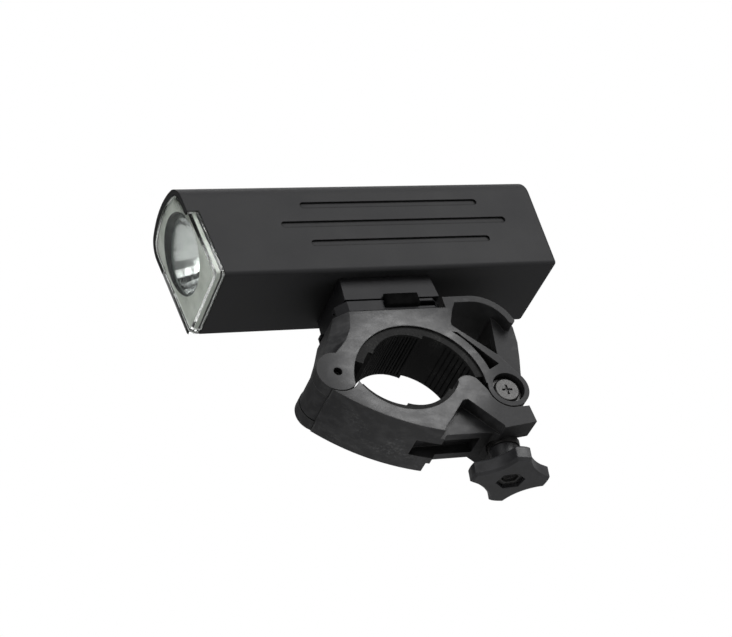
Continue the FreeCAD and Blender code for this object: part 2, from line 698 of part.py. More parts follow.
def board_room():
    half = BOARD_HALF_WIDTH + SEATED
    z1 = BOARD_Z + BOARD_T + SEATED
    return box(CAP_SKIRT_X - OVERRUN, CAP_INNER_X, -half, half, PORT_Z - FREE, z1)


def flap_pocket():
    half = FLAP_HALF_WIDTH + FREE / 2
    z1 = FLAP_HINGE_Z + FLAP_BARREL_R + FREE
    return box(FLAP_POCKET_X, REAR_X, -half, half, FLAP_BOTTOM_Z - FREE / 2, z1)


def flap_ears():
    y0 = FLAP_BARREL_HALF + FREE / 2
    r = FLAP_BARREL_R
    ears = []
    for sign in (-1, 1):
        y_low = min(sign * y0, sign * (y0 + FLAP_EAR_T))
        y_high = y_low + FLAP_EAR_T
        ear = cyl_y(FLAP_X, FLAP_HINGE_Z, r, y_low, y_high)
        foot = box(FLAP_POCKET_X - SEATED, FLAP_X, y_low, y_high, FLAP_HINGE_Z - r, FLAP_HINGE_Z + r)
        pin_hole = cyl_y(FLAP_X, FLAP_HINGE_Z, FLAP_PIN_R + RUNNING, y_low, y_high)
        ears.append(less(joined(ear, foot), pin_hole))
    return ears


def port_cover():
    x0 = FLAP_X - FLAP_T / 2
    x1 = FLAP_X + FLAP_T / 2
    half = FLAP_HALF_WIDTH
    plate_top = FLAP_HINGE_Z - FLAP_BARREL_R - FREE
    plate = box(x0, x1, -half, half, FLAP_BOTTOM_Z, plate_top)
    web = box(x0, x1, -FLAP_BARREL_HALF, FLAP_BARREL_HALF, plate_top - OVERRUN, FLAP_HINGE_Z)
    barrel = cyl_y(FLAP_X, FLAP_HINGE_Z, FLAP_BARREL_R, -FLAP_BARREL_HALF, FLAP_BARREL_HALF)
    pin_half = FLAP_BARREL_HALF + FREE / 2 + FLAP_EAR_T
    pin = cyl_y(FLAP_X, FLAP_HINGE_Z, FLAP_PIN_R, -pin_half, pin_half)
    return joined(plate, web, barrel, pin)


def rear_seal():
    x0 = CAP_SKIRT_X + (CAP_SKIRT_LENGTH - REAR_SEAL_LENGTH) / 2
    x1 = x0 + REAR_SEAL_LENGTH
    band = light_prism(WALL + RUNNING, x0, x1)
    return less(band, light_prism(WALL + SEATED + REAR_SEAL_T, x0 - OVERRUN, x1 + OVERRUN))


def screw(axis_cylinder, x0, y, z, head_r, head_t, shank_r, length):
    """A pan-head screw whose head starts at x0 and whose shank runs the other way."""
    head = axis_cylinder(y, z, head_r, x0 - head_t, x0)
    return joined(head, axis_cylinder(y, z, shank_r, x0 - head_t - length, x0 - head_t))


def rear_cap_screws():
    pieces = []
    for y in (-CAP_SCREW_Y, CAP_SCREW_Y):
        x0 = CAP_FACE_X
        pieces.append(screw(cyl_x, x0, y, CAP_SCREW_Z, CAP_SCREW_HEAD_R, CAP_SCREW_HEAD_T,
                            CAP_SCREW_R, CAP_SCREW_LENGTH))
    return Part.makeCompound(pieces)


# Shoe and seat

def light_shoe():
    start = (SHOE_BOTTOM_X[0], SHOE_BOTTOM)
    steps = [(SHOE_BOTTOM_X[1], SHOE_BOTTOM), (SHOE_TOP_X[1], LIGHT_BOTTOM), (SHOE_TOP_X[0], LIGHT_BOTTOM)]
    block = full_slab(start, steps, SHOE_HALF_WIDTH)
    x0, x1 = TONGUE_X
    neck = box(x0, x1, -TONGUE_NECK_HALF, TONGUE_NECK_HALF, TONGUE_TOP - TONGUE_T, SHOE_BOTTOM + OVERRUN)
    flange = box(x0, x1, -TONGUE_HALF, TONGUE_HALF, TONGUE_TOP - TONGUE_T, TONGUE_TOP)
    holes = []
    for x, y in shoe_screw_places():
        holes.append(cyl_z(x, y, SHOE_SCREW_R, FLOOR_Z - SHOE_SCREW_LENGTH, LIGHT_BOTTOM + OVERRUN))
    return less(joined(block, neck, flange), *holes)


def shoe_screws():
    pieces = []
    for x, y in shoe_screw_places():
        head = cyl_z(x, y, SHOE_SCREW_HEAD_R, FLOOR_Z, FLOOR_Z + SHOE_SCREW_HEAD_T)
        pieces.append(joined(head, cyl_z(x, y, SHOE_SCREW_R, FLOOR_Z - SHOE_SCREW_LENGTH, FLOOR_Z)))
    return Part.makeCompound(pieces)


def seat_outline():
    x0, x1 = SEAT_X
    w = SEAT_HALF_WIDTH
    c = SEAT_CORNER
    near = [(x0 + c, -w), (x1 - c, -w), (x1, c - w)]
    far = [(x1, w - c), (x1 - c, w), (x0 + c, w)]
    return near + far + [(x0, w - c), (x0, c - w)]


def tab_heights():
    """Bottom and top of the tab's stem, then of its wider foot."""
    mid = (CHANNEL_FLOOR + SEAT_TOP - SEAT_FLOOR_T) / 2
    return mid - TAB_STEM_T / 2, mid + TAB_STEM_T / 2, mid - TAB_FOOT_T / 2, mid + TAB_FOOT_T / 2


def tab_slot():
    stem_low, stem_high, foot_low, foot_high = tab_heights()
    x0 = TAB_X[0] - FREE
    x1 = TAB_X[1] + TAB_TRAVEL + TAB_SLOT_SPARE
    outer = -SEAT_HALF_WIDTH
    inner = outer + TAB_SLOT_DEPTH
    mouth = box(x0, x1, outer - OVERRUN, inner, stem_low - SEATED, stem_high + SEATED)
    groove = box(x0, x1, inner - TAB_FOOT_DEPTH - SEATED, inner, foot_low - SEATED, foot_high + SEATED)
    return mouth.fuse(groove)


def seat_plate():
    plate = plan_prism(seat_outline(), SEAT_BOTTOM, SEAT_TOP)
    hub = cyl_z(SWIVEL_X, 0, HUB_R, HUB_BOTTOM, CHANNEL_FLOOR)
    x0 = SEAT_X[0] - OVERRUN
    x1 = TONGUE_X[1] + FREE
    channel_half = TONGUE_HALF + FREE / 2
    neck_half = TONGUE_NECK_HALF + FREE / 2
    channel = box(x0, x1, -channel_half, channel_half, CHANNEL_FLOOR, SEAT_TOP - SEAT_LIP_T)
    neck = box(x0, x1, -neck_half, neck_half, CHANNEL_FLOOR, SEAT_TOP + OVERRUN)
    head_z = CHANNEL_FLOOR - SWIVEL_HEAD_T - SEATED
    head = cyl_z(SWIVEL_X, 0, SWIVEL_HEAD_R + SEATED, head_z, CHANNEL_FLOOR + OVERRUN)
    shank = cyl_z(SWIVEL_X, 0, SWIVEL_SCREW_R, HUB_BOTTOM - OVERRUN, CHANNEL_FLOOR)
    return less(joined(plate, hub), channel, neck, head, shank, tab_slot())


def release_tab():
    stem_low, stem_high, foot_low, foot_high = tab_heights()
    x0, x1 = TAB_X
    face = -SEAT_HALF_WIDTH - FREE
    inner = -SEAT_HALF_WIDTH + TAB_SLOT_DEPTH - SEATED
    plate = box(x0, x1, face - TAB_PROUD, face, stem_low, TAB_TOP)
    outer_edges = [e for e in plate.Edges if abs(e.BoundBox.YMax - face + TAB_PROUD) < 0.01]
    plate = plate.makeChamfer(TAB_PROUD / 3, outer_edges)
    stem = box(x0, x1, face, inner, stem_low, stem_high)
    foot = box(x0, x1, inner - TAB_FOOT_DEPTH + SEATED, inner, foot_low, foot_high)
    return joined(plate, stem, foot)


def swivel_screw():
    head_z = CHANNEL_FLOOR - SWIVEL_HEAD_T
    head = cyl_z(SWIVEL_X, 0, SWIVEL_HEAD_R, head_z, CHANNEL_FLOOR)
    shank = cyl_z(SWIVEL_X, 0, SWIVEL_SCREW_R, NUT_BOTTOM, head_z)
    slot_r = SWIVEL_SCREW_R / math.sqrt(3)
    recess = cyl_z(SWIVEL_X, 0, slot_r, head_z + SWIVEL_HEAD_T / 2, CHANNEL_FLOOR + OVERRUN)
    return less(joined(head, shank), recess)


def ring_z(outer_r, inner_r, z0, z1):
    hole = cyl_z(SWIVEL_X, 0, inner_r, z0 - OVERRUN, z1 + OVERRUN)
    return less(cyl_z(SWIVEL_X, 0, outer_r, z0, z1), hole)


def swivel_washer():
    return ring_z(SWIVEL_WASHER_R, SWIVEL_SCREW_R, NUT_TOP, WASHER_TOP)


def hexagon(r, phase):
    return [(r * math.cos(math.radians(60 * i + phase)), r * math.sin(math.radians(60 * i + phase)))
            for i in range(6)]


def swivel_nut():
    points = [(SWIVEL_X + x, y) for x, y in hexagon(SWIVEL_NUT_R, 0)]
    hole = cyl_z(SWIVEL_X, 0, SWIVEL_SCREW_R, NUT_BOTTOM - OVERRUN, NUT_TOP + OVERRUN)
    return less(plan_prism(points, NUT_BOTTOM, NUT_TOP), hole)


def nut_pocket():
    return cyl_z(SWIVEL_X, 0, SWIVEL_NUT_R + FREE, NUT_BOTTOM - NUT_SKIN, HUB_POCKET - SWIVEL_WALL)


# Upper jaw

def jaw_front_block():
    """The jaw's front shoulder, bevelled towards both faces."""
    bore_side = [PIN, (0, 0)]
    inner = [(BROW_X, JAW_TOP), *BROW] + bore_side
    outer = [(BROW_FACE_X, JAW_TOP), *BROW_FACE] + bore_side
    start = (0, JAW_TOP)
    inner_half = JAW_HALF_WIDTH - FACET_DEPTH
    middle = full_slab(start, inner, inner_half)
    face_wire = face_xz(-JAW_HALF_WIDTH, start, outer).OuterWire
    step_wire = face_xz(-inner_half, start, inner).OuterWire
    side = Part.makeLoft([face_wire, step_wire], True, True)
    return joined(middle, side, side.mirror(vec(0, 0, 0), SIDE))


def fin_outline():
    """The arm that arches over the side pocket, from the jaw's top to its free end."""
    under = FIN_TOP - FIN_T
    start = (FIN_X[0], FIN_TOP)
    inner_tip = polar(FIN_TIP, -FIN_T, FIN_TIP_ANGLE)
    inner_bend = polar(FIN_BEND, -FIN_T, FIN_BEND_ANGLE)
    steps = [(FIN_X[1], FIN_TOP), (FIN_BEND, FIN_TIP), (FIN_NOSE, inner_tip)]
    steps += [(inner_bend, (FIN_UNDER_X[1], under)), (FIN_UNDER_X[0], under), *FIN_ROOT]
    return start, steps


def rib_outline():
    """The diagonal member from the jaw's shoulder to the barrel's boss."""
    start = (0, JAW_TOP)
    steps = [(RIB_X, JAW_TOP), FIN_ROOT[1], RIB_HEAD, RIB_FOOT]
    steps += [polar(BARREL, BOSS_R, RIB_BOSS_ANGLE), BARREL, (0, 0)]
    return start, steps


def side_pocket():
    """The triangular pocket between the bore wall and the diagonal rib, on the near side."""
    wall_r = UPPER_BORE_R + BORE_WALL
    low, middle, high = [polar(UPPER_BORE, wall_r, angle) for angle in POCKET_ANGLES]
    rib_low = (RIB_FOOT[0] - RIB_T * 0.4, RIB_FOOT[1] - RIB_T * 1.5)
    rib_high = (RIB_HEAD[0] + RIB_T * 0.55, RIB_HEAD[1] - RIB_T * 1.35)
    outer = -JAW_HALF_WIDTH
    return slab(low, [(middle, high), rib_high, rib_low], outer - OVERRUN, outer + POCKET_DEPTH)


def column():
    """The set-back post that carries the arm's free end down to the boss."""
    start = COLUMN_FRONT[0]
    steps = [*COLUMN_FRONT[1:], BARREL, polar(BARREL, BOSS_R, 0), *COLUMN_BACK]
    return full_slab(start, steps, COLUMN_HALF_WIDTH)


def screw_slot():
    """The slot that lets the clamp screw swing out of the jaw."""
    x0 = BARREL[0] - BARREL_R - SEATED
    return box(x0, x0 + REACH, -SCREW_SLOT_HALF, SCREW_SLOT_HALF, -REACH, SCREW_SLOT_TOP)


def upper_jaw():
    ear = cyl_y(PIN[0], PIN[1], EAR_R, -JAW_HALF_WIDTH, JAW_HALF_WIDTH)
    boss = cyl_y(BARREL[0], BARREL[1], BOSS_R, -JAW_HALF_WIDTH, JAW_HALF_WIDTH)
    rib = full_slab(*rib_outline(), JAW_HALF_WIDTH)
    fin = full_slab(*fin_outline(), JAW_HALF_WIDTH)
    body = joined(jaw_front_block(), ear, rib, boss, fin, column())
    far = JAW_HALF_WIDTH + OVERRUN
    bore = cyl_y(UPPER_BORE[0], UPPER_BORE[1], UPPER_BORE_R, -far, far)
    bore = less(bore, cyl_y(BARREL[0], BARREL[1], BOSS_R, -far, far))
    knuckle = cyl_y(PIN[0], PIN[1], KNUCKLE_R + FREE, -EAR_INNER, EAR_INNER)
    pin_hole = cyl_y(PIN[0], PIN[1], PIN_R, -far, far)
    barrel_hole = cyl_y(BARREL[0], BARREL[1], BARREL_R + RUNNING, -far, far)
    swivel_room = cyl_z(SWIVEL_X, 0, FIN_CLEAR_R, JAW_TOP, SHOE_BOTTOM + OVERRUN)
    hub_room = cyl_z(SWIVEL_X, 0, HUB_R + SEATED, HUB_POCKET, JAW_TOP + OVERRUN)
    screw_hole = cyl_z(SWIVEL_X, 0, SWIVEL_SCREW_R + SEATED, NUT_BOTTOM, JAW_TOP)
    pocket = side_pocket()
    tools = [bore, knuckle, pin_hole, barrel_hole, swivel_room, hub_room, screw_hole, nut_pocket()]
    tools += [pocket, pocket.mirror(vec(0, 0, 0), SIDE), screw_slot()]
    return less(body, *tools).removeSplitter()


def hinge_pin():
    half = JAW_HALF_WIDTH - SEATED
    return cyl_y(PIN[0], PIN[1], PIN_R, -half, half)


# Lower jaw

def lower_outline():
    """The lower jaw's side view: bore, nose, saddle under the boss, fork and keel."""
    left, bottom, right = [polar(LOWER_BORE, LOWER_BORE_R, angle) for angle in LOWER_BORE_ANGLES]
    saddle_r = BOSS_R + FREE + SEATED
    saddle = [polar(BARREL, saddle_r, angle) for angle in SADDLE_ANGLES]
    steps = [(bottom, right), HORN[0], (HORN[1], HORN[2]), saddle[0], (saddle[1], saddle[2])]
    steps += [*FORK_END, *KEEL, (CHIN_MIDDLE, CHIN_END), PIN]
    return left, steps


def near_recess():
    start = LOWER_RECESS[0]
    last = LOWER_RECESS[-1]
    steps = [*LOWER_RECESS[1:], (last[0], -REACH), (start[0], -REACH)]
    return slab(start, steps, -JAW_HALF_WIDTH - OVERRUN, LOWER_RECESS_DEPTH - JAW_HALF_WIDTH)


def along_screw(shape):
    """Places a piece that was drawn hanging down from the barrel's centre onto the tilted axis."""
    shape.rotate(vec(0, 0, 0), SIDE, SCREW_TILT)
    shape.translate(vec(BARREL[0], 0, BARREL[1]))
    return shape


def hanging(r, start, end):
    return Part.makeCylinder(r, end - start, vec(0, 0, -end), vec(0, 0, 1))


def lower_jaw():
    body = full_slab(*lower_outline(), JAW_HALF_WIDTH)
    far = JAW_HALF_WIDTH + OVERRUN
    ear_room = cyl_y(PIN[0], PIN[1], EAR_R + FREE, -far, far)
    body = less(body, ear_room)
    knuckle_half = EAR_INNER - FREE
    knuckle = cyl_y(PIN[0], PIN[1], KNUCKLE_R, -knuckle_half, knuckle_half)
    neck = full_slab(PIN, [*NECK, CHIN_END], knuckle_half)
    body = joined(body, knuckle, neck)
    bore = cyl_y(LOWER_BORE[0], LOWER_BORE[1], LOWER_BORE_R, -far, far)
    bore = bore.common(box(*LOWER_BORE_X, -far, far, -REACH, REACH))
    pin_hole = cyl_y(PIN[0], PIN[1], PIN_R + RUNNING, -far, far)
    fork_x = BARREL[0] - FORK_SEAT * math.sin(math.radians(SCREW_TILT))
    slot = box(fork_x, REACH, -FORK_SLOT_HALF, FORK_SLOT_HALF, -REACH, BARREL[1])
    slot_end = cyl_z(fork_x, 0, FORK_SLOT_HALF, -REACH, BARREL[1])
    spot_face = along_screw(hanging(WASHER_R + FREE, FORK_SEAT, 2 * FORK_SEAT))
    keel_slot = box(*KEEL_SLOT_X, -KEEL_SLOT_HALF, KEEL_SLOT_HALF, -REACH, KEEL_SLOT_TOP)
    recess = near_recess()
    tools = [bore, pin_hole, slot, slot_end, spot_face, keel_slot, recess, recess.mirror(vec(0, 0, 0), SIDE)]
    return less(body, *tools).removeSplitter()


# Barrel nut, screw and knob

def barrel_nut():
    half = JAW_HALF_WIDTH - BARREL_RECESS
    body = cyl_y(BARREL[0], BARREL[1], BARREL_R, -half, half)
    bore = along_screw(hanging(SCREW_R + RUNNING, -2 * BARREL_R, 2 * BARREL_R))
    return less(body, bore)


def knob_washer():
    disc = hanging(WASHER_R, FORK_SEAT + SEATED, COLLAR_START - SEATED)
    return along_screw(less(disc, hanging(SCREW_R + RUNNING, 0, KNOB_END)))


def knob_star():
    edges = []
    half = math.radians(KNOB_LOBE_HALF_ANGLE)
    pitch = 2 * math.pi / KNOB_LOBES

    def point(r, angle):
        return vec(r * math.cos(angle), r * math.sin(angle), -KNOB_END)

    for i in range(KNOB_LOBES):
        a = i * pitch
        edges.append(Part.Arc(point(KNOB_R, a - half), point(KNOB_R, a), point(KNOB_R, a + half)).toShape())
        valley = point(KNOB_VALLEY_R, a + pitch / 2)
        edges.append(Part.Arc(point(KNOB_R, a + half), valley, point(KNOB_R, a + pitch - half)).toShape())
    star = Part.Face(Part.Wire(edges)).extrude(vec(0, 0, KNOB_END - KNOB_START))
    rims = [e for e in star.Edges if e.BoundBox.ZLength < 0.01]
    return star.makeChamfer(KNOB_BEVEL, rims)


def hex_prism(start, end):
    corners = [vec(x, y, -end) for x, y in hexagon(HEX_R, HEX_PHASE)]
    return Part.Face(Part.makePolygon(corners + corners[:1])).extrude(vec(0, 0, end - start))


def clamp_knob():
    collar = hanging(COLLAR_R, COLLAR_START, KNOB_START + OVERRUN)
    body = joined(knob_star(), collar)
    recess = hex_prism(KNOB_END - HEX_DEPTH, KNOB_END + OVERRUN)
    return along_screw(less(body, recess, hanging(SCREW_R, 0, KNOB_END)))


def clamp_screw():
    shank = hanging(SCREW_R, -SCREW_TIP, KNOB_END - HEX_DEPTH)
    tip = [e for e in shank.Edges if abs(e.BoundBox.ZMin - SCREW_TIP) < 0.01]
    shank = shank.makeChamfer(SCREW_R / 4, tip)
    head = hex_prism(KNOB_END - HEX_DEPTH, KNOB_END - HEX_DEPTH + HEAD_T)
    return along_screw(joined(shank, head))


# Rubber pads

def pad_grooves(angles):
    """Narrow grooves along the bar, cut into the faces that grip it."""
    tools = []
    count = int((angles[1] - angles[0]) / PAD_GROOVE_STEP)
    spare = (angles[1] - angles[0] - (count - 1) * PAD_GROOVE_STEP) / 2
    for i in range(count):
        x1 = BAR_R + PAD_GROOVE_DEPTH
        far = JAW_HALF_WIDTH
        tool = box(BAR_R - OVERRUN, x1, -far, far, -PAD_GROOVE / 2, PAD_GROOVE / 2)
        tool.rotate(vec(0, 0, 0), SIDE, -(angles[0] + spare + i * PAD_GROOVE_STEP))
        tools.append(tool)
    return tools


def pad(outer_centre, outer_r, inner_centre, inner_r, ends, seat_angles):
    """A lining that follows its jaw, with a thicker middle shaped to the bar."""
    half = PAD_HALF_WIDTH
    shell = sector(outer_centre, outer_r, ends[0], ends[1], half)
    hollow = cyl_y(inner_centre[0], inner_centre[1], inner_r, -2 * half, 2 * half)
    seat = sector((0, 0), 2 * BAR_R, seat_angles[0], seat_angles[1], half)
    bar = cyl_y(0, 0, BAR_R, -2 * half, 2 * half)
    lining = less(shell, less(hollow, seat), bar)
    return less(lining, *pad_grooves(seat_angles))


def upper_pad():
    lining = pad(UPPER_BORE, UPPER_BORE_R, UPPER_BORE, UPPER_PAD_R, UPPER_PAD_ENDS, UPPER_SEAT_ANGLES)
    return less(lining, nut_pocket())


def lower_pad():
    return pad(LOWER_BORE, LOWER_BORE_R, LOWER_PAD_CENTRE, LOWER_PAD_R, LOWER_PAD_ENDS, LOWER_SEAT_ANGLES)


NODES = [
    housing, front_lens, bezel, lens_seal, reflector, led_emitter, led_board, heat_sink, led_flex,
    battery_cell, cell_holder, contact_spring, contact_plate, driver_board, charging_port,
    power_button, switch_stem, tact_switch, rear_cap, rear_cap_screws, rear_seal, port_cover,
    light_shoe, shoe_screws, seat_plate, release_tab, swivel_screw, swivel_washer, swivel_nut,
    upper_jaw, hinge_pin, lower_jaw, barrel_nut, knob_washer, clamp_knob, clamp_screw,
    upper_pad, lower_pad,
]

for build_node in NODES:
    export(build_node.__name__, build_node())
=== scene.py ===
import bmesh
import bpy
import math
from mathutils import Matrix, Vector


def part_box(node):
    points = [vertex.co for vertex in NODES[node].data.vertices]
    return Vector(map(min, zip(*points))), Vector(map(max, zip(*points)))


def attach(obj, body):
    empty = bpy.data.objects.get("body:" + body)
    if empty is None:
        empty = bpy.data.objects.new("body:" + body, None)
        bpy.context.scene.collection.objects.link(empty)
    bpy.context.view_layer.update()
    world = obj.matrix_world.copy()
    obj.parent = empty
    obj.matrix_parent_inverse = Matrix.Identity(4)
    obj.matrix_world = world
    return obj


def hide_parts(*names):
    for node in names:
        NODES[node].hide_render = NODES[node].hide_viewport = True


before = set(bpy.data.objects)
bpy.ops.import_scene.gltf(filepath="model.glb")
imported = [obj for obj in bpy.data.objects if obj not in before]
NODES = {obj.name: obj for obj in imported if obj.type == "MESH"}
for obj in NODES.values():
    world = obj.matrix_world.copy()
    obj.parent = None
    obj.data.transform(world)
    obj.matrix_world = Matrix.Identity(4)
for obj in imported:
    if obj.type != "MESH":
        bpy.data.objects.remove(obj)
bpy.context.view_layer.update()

MM = 0.001

# Places and sizes in millimetres, as the model has them; the tilt and the phase are degrees. A pair is X and Z.
WINDOW_Z = 46.9
WINDOW_R = 11.2
REFLECTOR_RIM_X = -47.0
REFLECTOR_RIM_R = 10.9
REFLECTOR_HOLE_R = 3.0
REFLECTOR_FOCUS = 2.4
REFLECTOR_WALL = 0.7
UPPER_BORE = (1.3, -5.1)
UPPER_LINER_R = 16.4
BAR_R = 11.1
LINER_END = 9.0
PIN = (-21.2, 0.3)
PIN_R = 1.2
PIN_HALF = 8.5
BARREL = (26.0, -7.7)
BARREL_R = 4.5
BARREL_HALF = 8.9
SCREW_TILT = 8.0
SCREW_R = 2.5
SCREW_TIP = 18.0
SCREW_PITCH = 0.8
SCREW_NECK = 13.4
HEAD_START = 19.7
HEAD_T = 2.4
HEX_R = 4.0
HEX_PHASE = 40.0
BUTTON_X = 26.0
BUTTON_R = 4.5
FLAP_T = 1.2

# Sizes in millimetres, and the reflector's counts, of what is shaped here
REFLECTOR_RINGS = 6
REFLECTOR_FACETS = 28
GROOVE_HALF_W = 0.17
LIP_Y = 8.6
LIP_T = 0.76
BARREL_STEP_R = 3.55
BARREL_STEP = 1.0
SLOT_HALF_L = 1.5
SLOT_HALF_W = 0.28
SLOT_DEPTH = 0.45
BORE_GAP = 0.05
BORE_HALF = 8.0
THREAD_R = SCREW_PITCH * 0.55
THREAD_DEPTH = 0.45
HEAD_GAP = 0.06
SOCKET_WALL = 1.35
SOCKET_DEPTH = 1.1
SOCKET_FLOOR_RING = 0.35
RIB_HALF_L = 3.2
RIB_HALF_W = 0.2
RIB_ROOT = 0.2
RIB_HEIGHT = 0.22
RIB_FIRST = 1.0
RIB_SPACING = 0.8

# Distances from the bar's middle, in metres, between which the jaws' rubs and painted sheen fade and their finish
# turns rougher
SHEEN_AND_RUBS_FULL_TO = 0.017
SHEEN_AND_RUBS_FADED_FROM = 0.025

# The colour that painted shade turns the deepest corners to
PAINTED_DEEP_SHADE = (0.001, 0.001, 0.001)

# The colour sockets of a Mix node
MIX_FIRST, MIX_SECOND, MIX_RESULT = 6, 7, 2

# Strength of the studio's surroundings as a light, and in every reflection of them
WORLD_SOFT = 0.20
WORLD_MIRRORED = 0.45

# The viewpoint, the floor, the card and the lamps, in metres and degrees; a lamp is its name, place, size and watts
CAMERA_LENS_MM = 101.4
CAMERA_PLACE = (-0.23057, -0.42163, -0.26587)
CAMERA_TURN = (122.4205, 15.4485, -18.7397)
FLOOR_SIZE = 12.0
FLOOR_Z = -0.45
FLOOR_GLOW = 0.35
CARD_SIZE = 0.3
CARD_PLACE = (-0.32, 0.456, 0.329)
CARD_FACES = (-0.4486, 0.7597, 0.4708)
LAMPS = [
    ("key", (0.56, -1.03, 0.65), 0.7, 14.5),
    ("fill", (-0.9, -0.8, 0.3), 0.8, 4.0),
    ("top", (0.1, 0.3, 1.3), 0.8, 5.0),
]


# Patterns: all of them read Object coordinates, so they keep their real size

def begin(name):
    """A new material with its shader and a source of Object coordinates."""
    material = bpy.data.materials.new(name)
    material.use_nodes = True
    tree = material.node_tree
    place = tree.nodes.new("ShaderNodeTexCoord").outputs["Object"]
    return material, tree, tree.nodes["Principled BSDF"], place


def finish(tree, shader, colour, roughness):
    """Gives a shader its colour and its roughness."""
    tree.links.new(colour, shader.inputs["Base Color"])
    tree.links.new(roughness, shader.inputs["Roughness"])


def grain(tree, place, size_mm, detail=3.0, roughness=0.55):
    """Cloudy noise whose blotches are about size_mm across."""
    node = tree.nodes.new("ShaderNodeTexNoise")
    node.inputs["Scale"].default_value = 1 / (size_mm * MM)
    node.inputs["Detail"].default_value = detail
    node.inputs["Roughness"].default_value = roughness
    tree.links.new(place, node.inputs["Vector"])
    return node.outputs["Fac"]


def stretched(tree, place, x, y, z):
    """The same coordinates, drawn out along each axis by the given factors."""
    node = tree.nodes.new("ShaderNodeMapping")
    node.inputs["Scale"].default_value = (1 / x, 1 / y, 1 / z)
    tree.links.new(place, node.inputs["Vector"])
    return node.outputs["Vector"]


def spread(tree, value, low, high, low_at=0.3, high_at=0.7):
    """Maps a value to the range from low to high. Noise varies round 0.5, which the last two allow for."""
    node = tree.nodes.new("ShaderNodeMapRange")
    node.inputs["From Min"].default_value = low_at
    node.inputs["From Max"].default_value = high_at
    node.inputs["To Min"].default_value = low
    node.inputs["To Max"].default_value = high
    tree.links.new(value, node.inputs["Value"])
    return node.outputs["Result"]


def mixed(tree, factor, dark, light):
    """A colour between two others, each of them a triple or what another node gives."""
    node = tree.nodes.new("ShaderNodeMix")
    node.data_type = "RGBA"
    for colour, socket in ((dark, node.inputs[MIX_FIRST]), (light, node.inputs[MIX_SECOND])):
        if isinstance(colour, tuple):
            socket.default_value = (*colour, 1)
        else:
            tree.links.new(colour, socket)
    tree.links.new(factor, node.inputs[0])
    return node.outputs[MIX_RESULT]


def added(tree, first, second, weight):
    """The first value plus the second one times its weight."""
    node = tree.nodes.new("ShaderNodeMath")
    node.operation = "MULTIPLY_ADD"
    node.inputs[1].default_value = weight
    tree.links.new(second, node.inputs[0])
    tree.links.new(first, node.inputs[2])
    return node.outputs["Value"]


def combined(tree, operation, first, second):
    """Two values brought together by a Math node."""
    node = tree.nodes.new("ShaderNodeMath")
    node.operation = operation
    tree.links.new(first, node.inputs[0])
    tree.links.new(second, node.inputs[1])
    return node.outputs["Value"]


def uneven(tree, fine, broad, low, high):
    """Roughness from low to high that follows a fine grain and, less, a broad one."""
    return spread(tree, added(tree, fine, broad, 0.6), low, high, 0.6, 1.0)


def rounded_normal(tree, radius_mm):
    """The surface's direction as it would be with its edges rounded."""
    bevel = tree.nodes.new("ShaderNodeBevel")
    bevel.samples = 6
    bevel.inputs["Radius"].default_value = radius_mm * MM
    return bevel.outputs["Normal"]


def edge_mask(tree, radius_mm):
    """White where the surface bends sharply, from how far the rounded normal leaves the true one."""
    geometry = tree.nodes.new("ShaderNodeNewGeometry")
    dot = tree.nodes.new("ShaderNodeVectorMath")
    dot.operation = "DOT_PRODUCT"
    tree.links.new(rounded_normal(tree, radius_mm), dot.inputs[0])
    tree.links.new(geometry.outputs["Normal"], dot.inputs[1])
    return spread(tree, dot.outputs["Value"], 1.0, 0.0, 0.80, 0.995)


def relief(tree, shader, height, depth_mm, edge_mm=0.0):
    """Bumps from a height value, over edges rounded by edge_mm."""
    bump = tree.nodes.new("ShaderNodeBump")
    bump.inputs["Distance"].default_value = depth_mm * MM
    bump.inputs["Strength"].default_value = 1.0
    tree.links.new(height, bump.inputs["Height"])
    if edge_mm:
        tree.links.new(rounded_normal(tree, edge_mm), bump.inputs["Normal"])
    tree.links.new(bump.outputs["Normal"], shader.inputs["Normal"])


def scuffs(tree, place, patch_mm, fleck_mm):
    """Patches of small pale rubs: flecks that show only inside larger clouds."""
    patch = spread(tree, grain(tree, place, patch_mm, 2.0), 0.0, 1.0, 0.50, 0.68)
    fleck = spread(tree, grain(tree, place, fleck_mm, 5.0, 0.7), 0.0, 1.0, 0.50, 0.66)
    return combined(tree, "MULTIPLY", patch, fleck)


def painted_corner_shade(tree, colour, reach_mm, low_at=0.25, high_at=0.8):
    """Paints shade into a colour where the surface lies deep in a recess: an ambient-occlusion darkening, not shade
    from the lamps.
    """
    open_sky = tree.nodes.new("ShaderNodeAmbientOcclusion")
    open_sky.samples = 6
    open_sky.inputs["Distance"].default_value = reach_mm * MM
    return mixed(tree, spread(tree, open_sky.outputs["AO"], 0.0, 1.0, low_at, high_at), PAINTED_DEEP_SHADE, colour)


def vector_step(tree, operation, vector, constant=None):
    """A Vector Math node between a linked vector and a fixed one."""
    node = tree.nodes.new("ShaderNodeVectorMath")
    node.operation = operation
    tree.links.new(vector, node.inputs[0])
    if constant:
        node.inputs[1].default_value = constant
    return node


def off_axis(tree, place, centre_mm, across):
    """Distance from a line through a point; across is 1 for the two axes that lie square to the line."""
    offset = vector_step(tree, "SUBTRACT", place, [value * MM for value in centre_mm])
    flat = vector_step(tree, "MULTIPLY", offset.outputs["Vector"], across)
    return vector_step(tree, "LENGTH", flat.outputs["Vector"]).outputs["Value"]


# Finishes

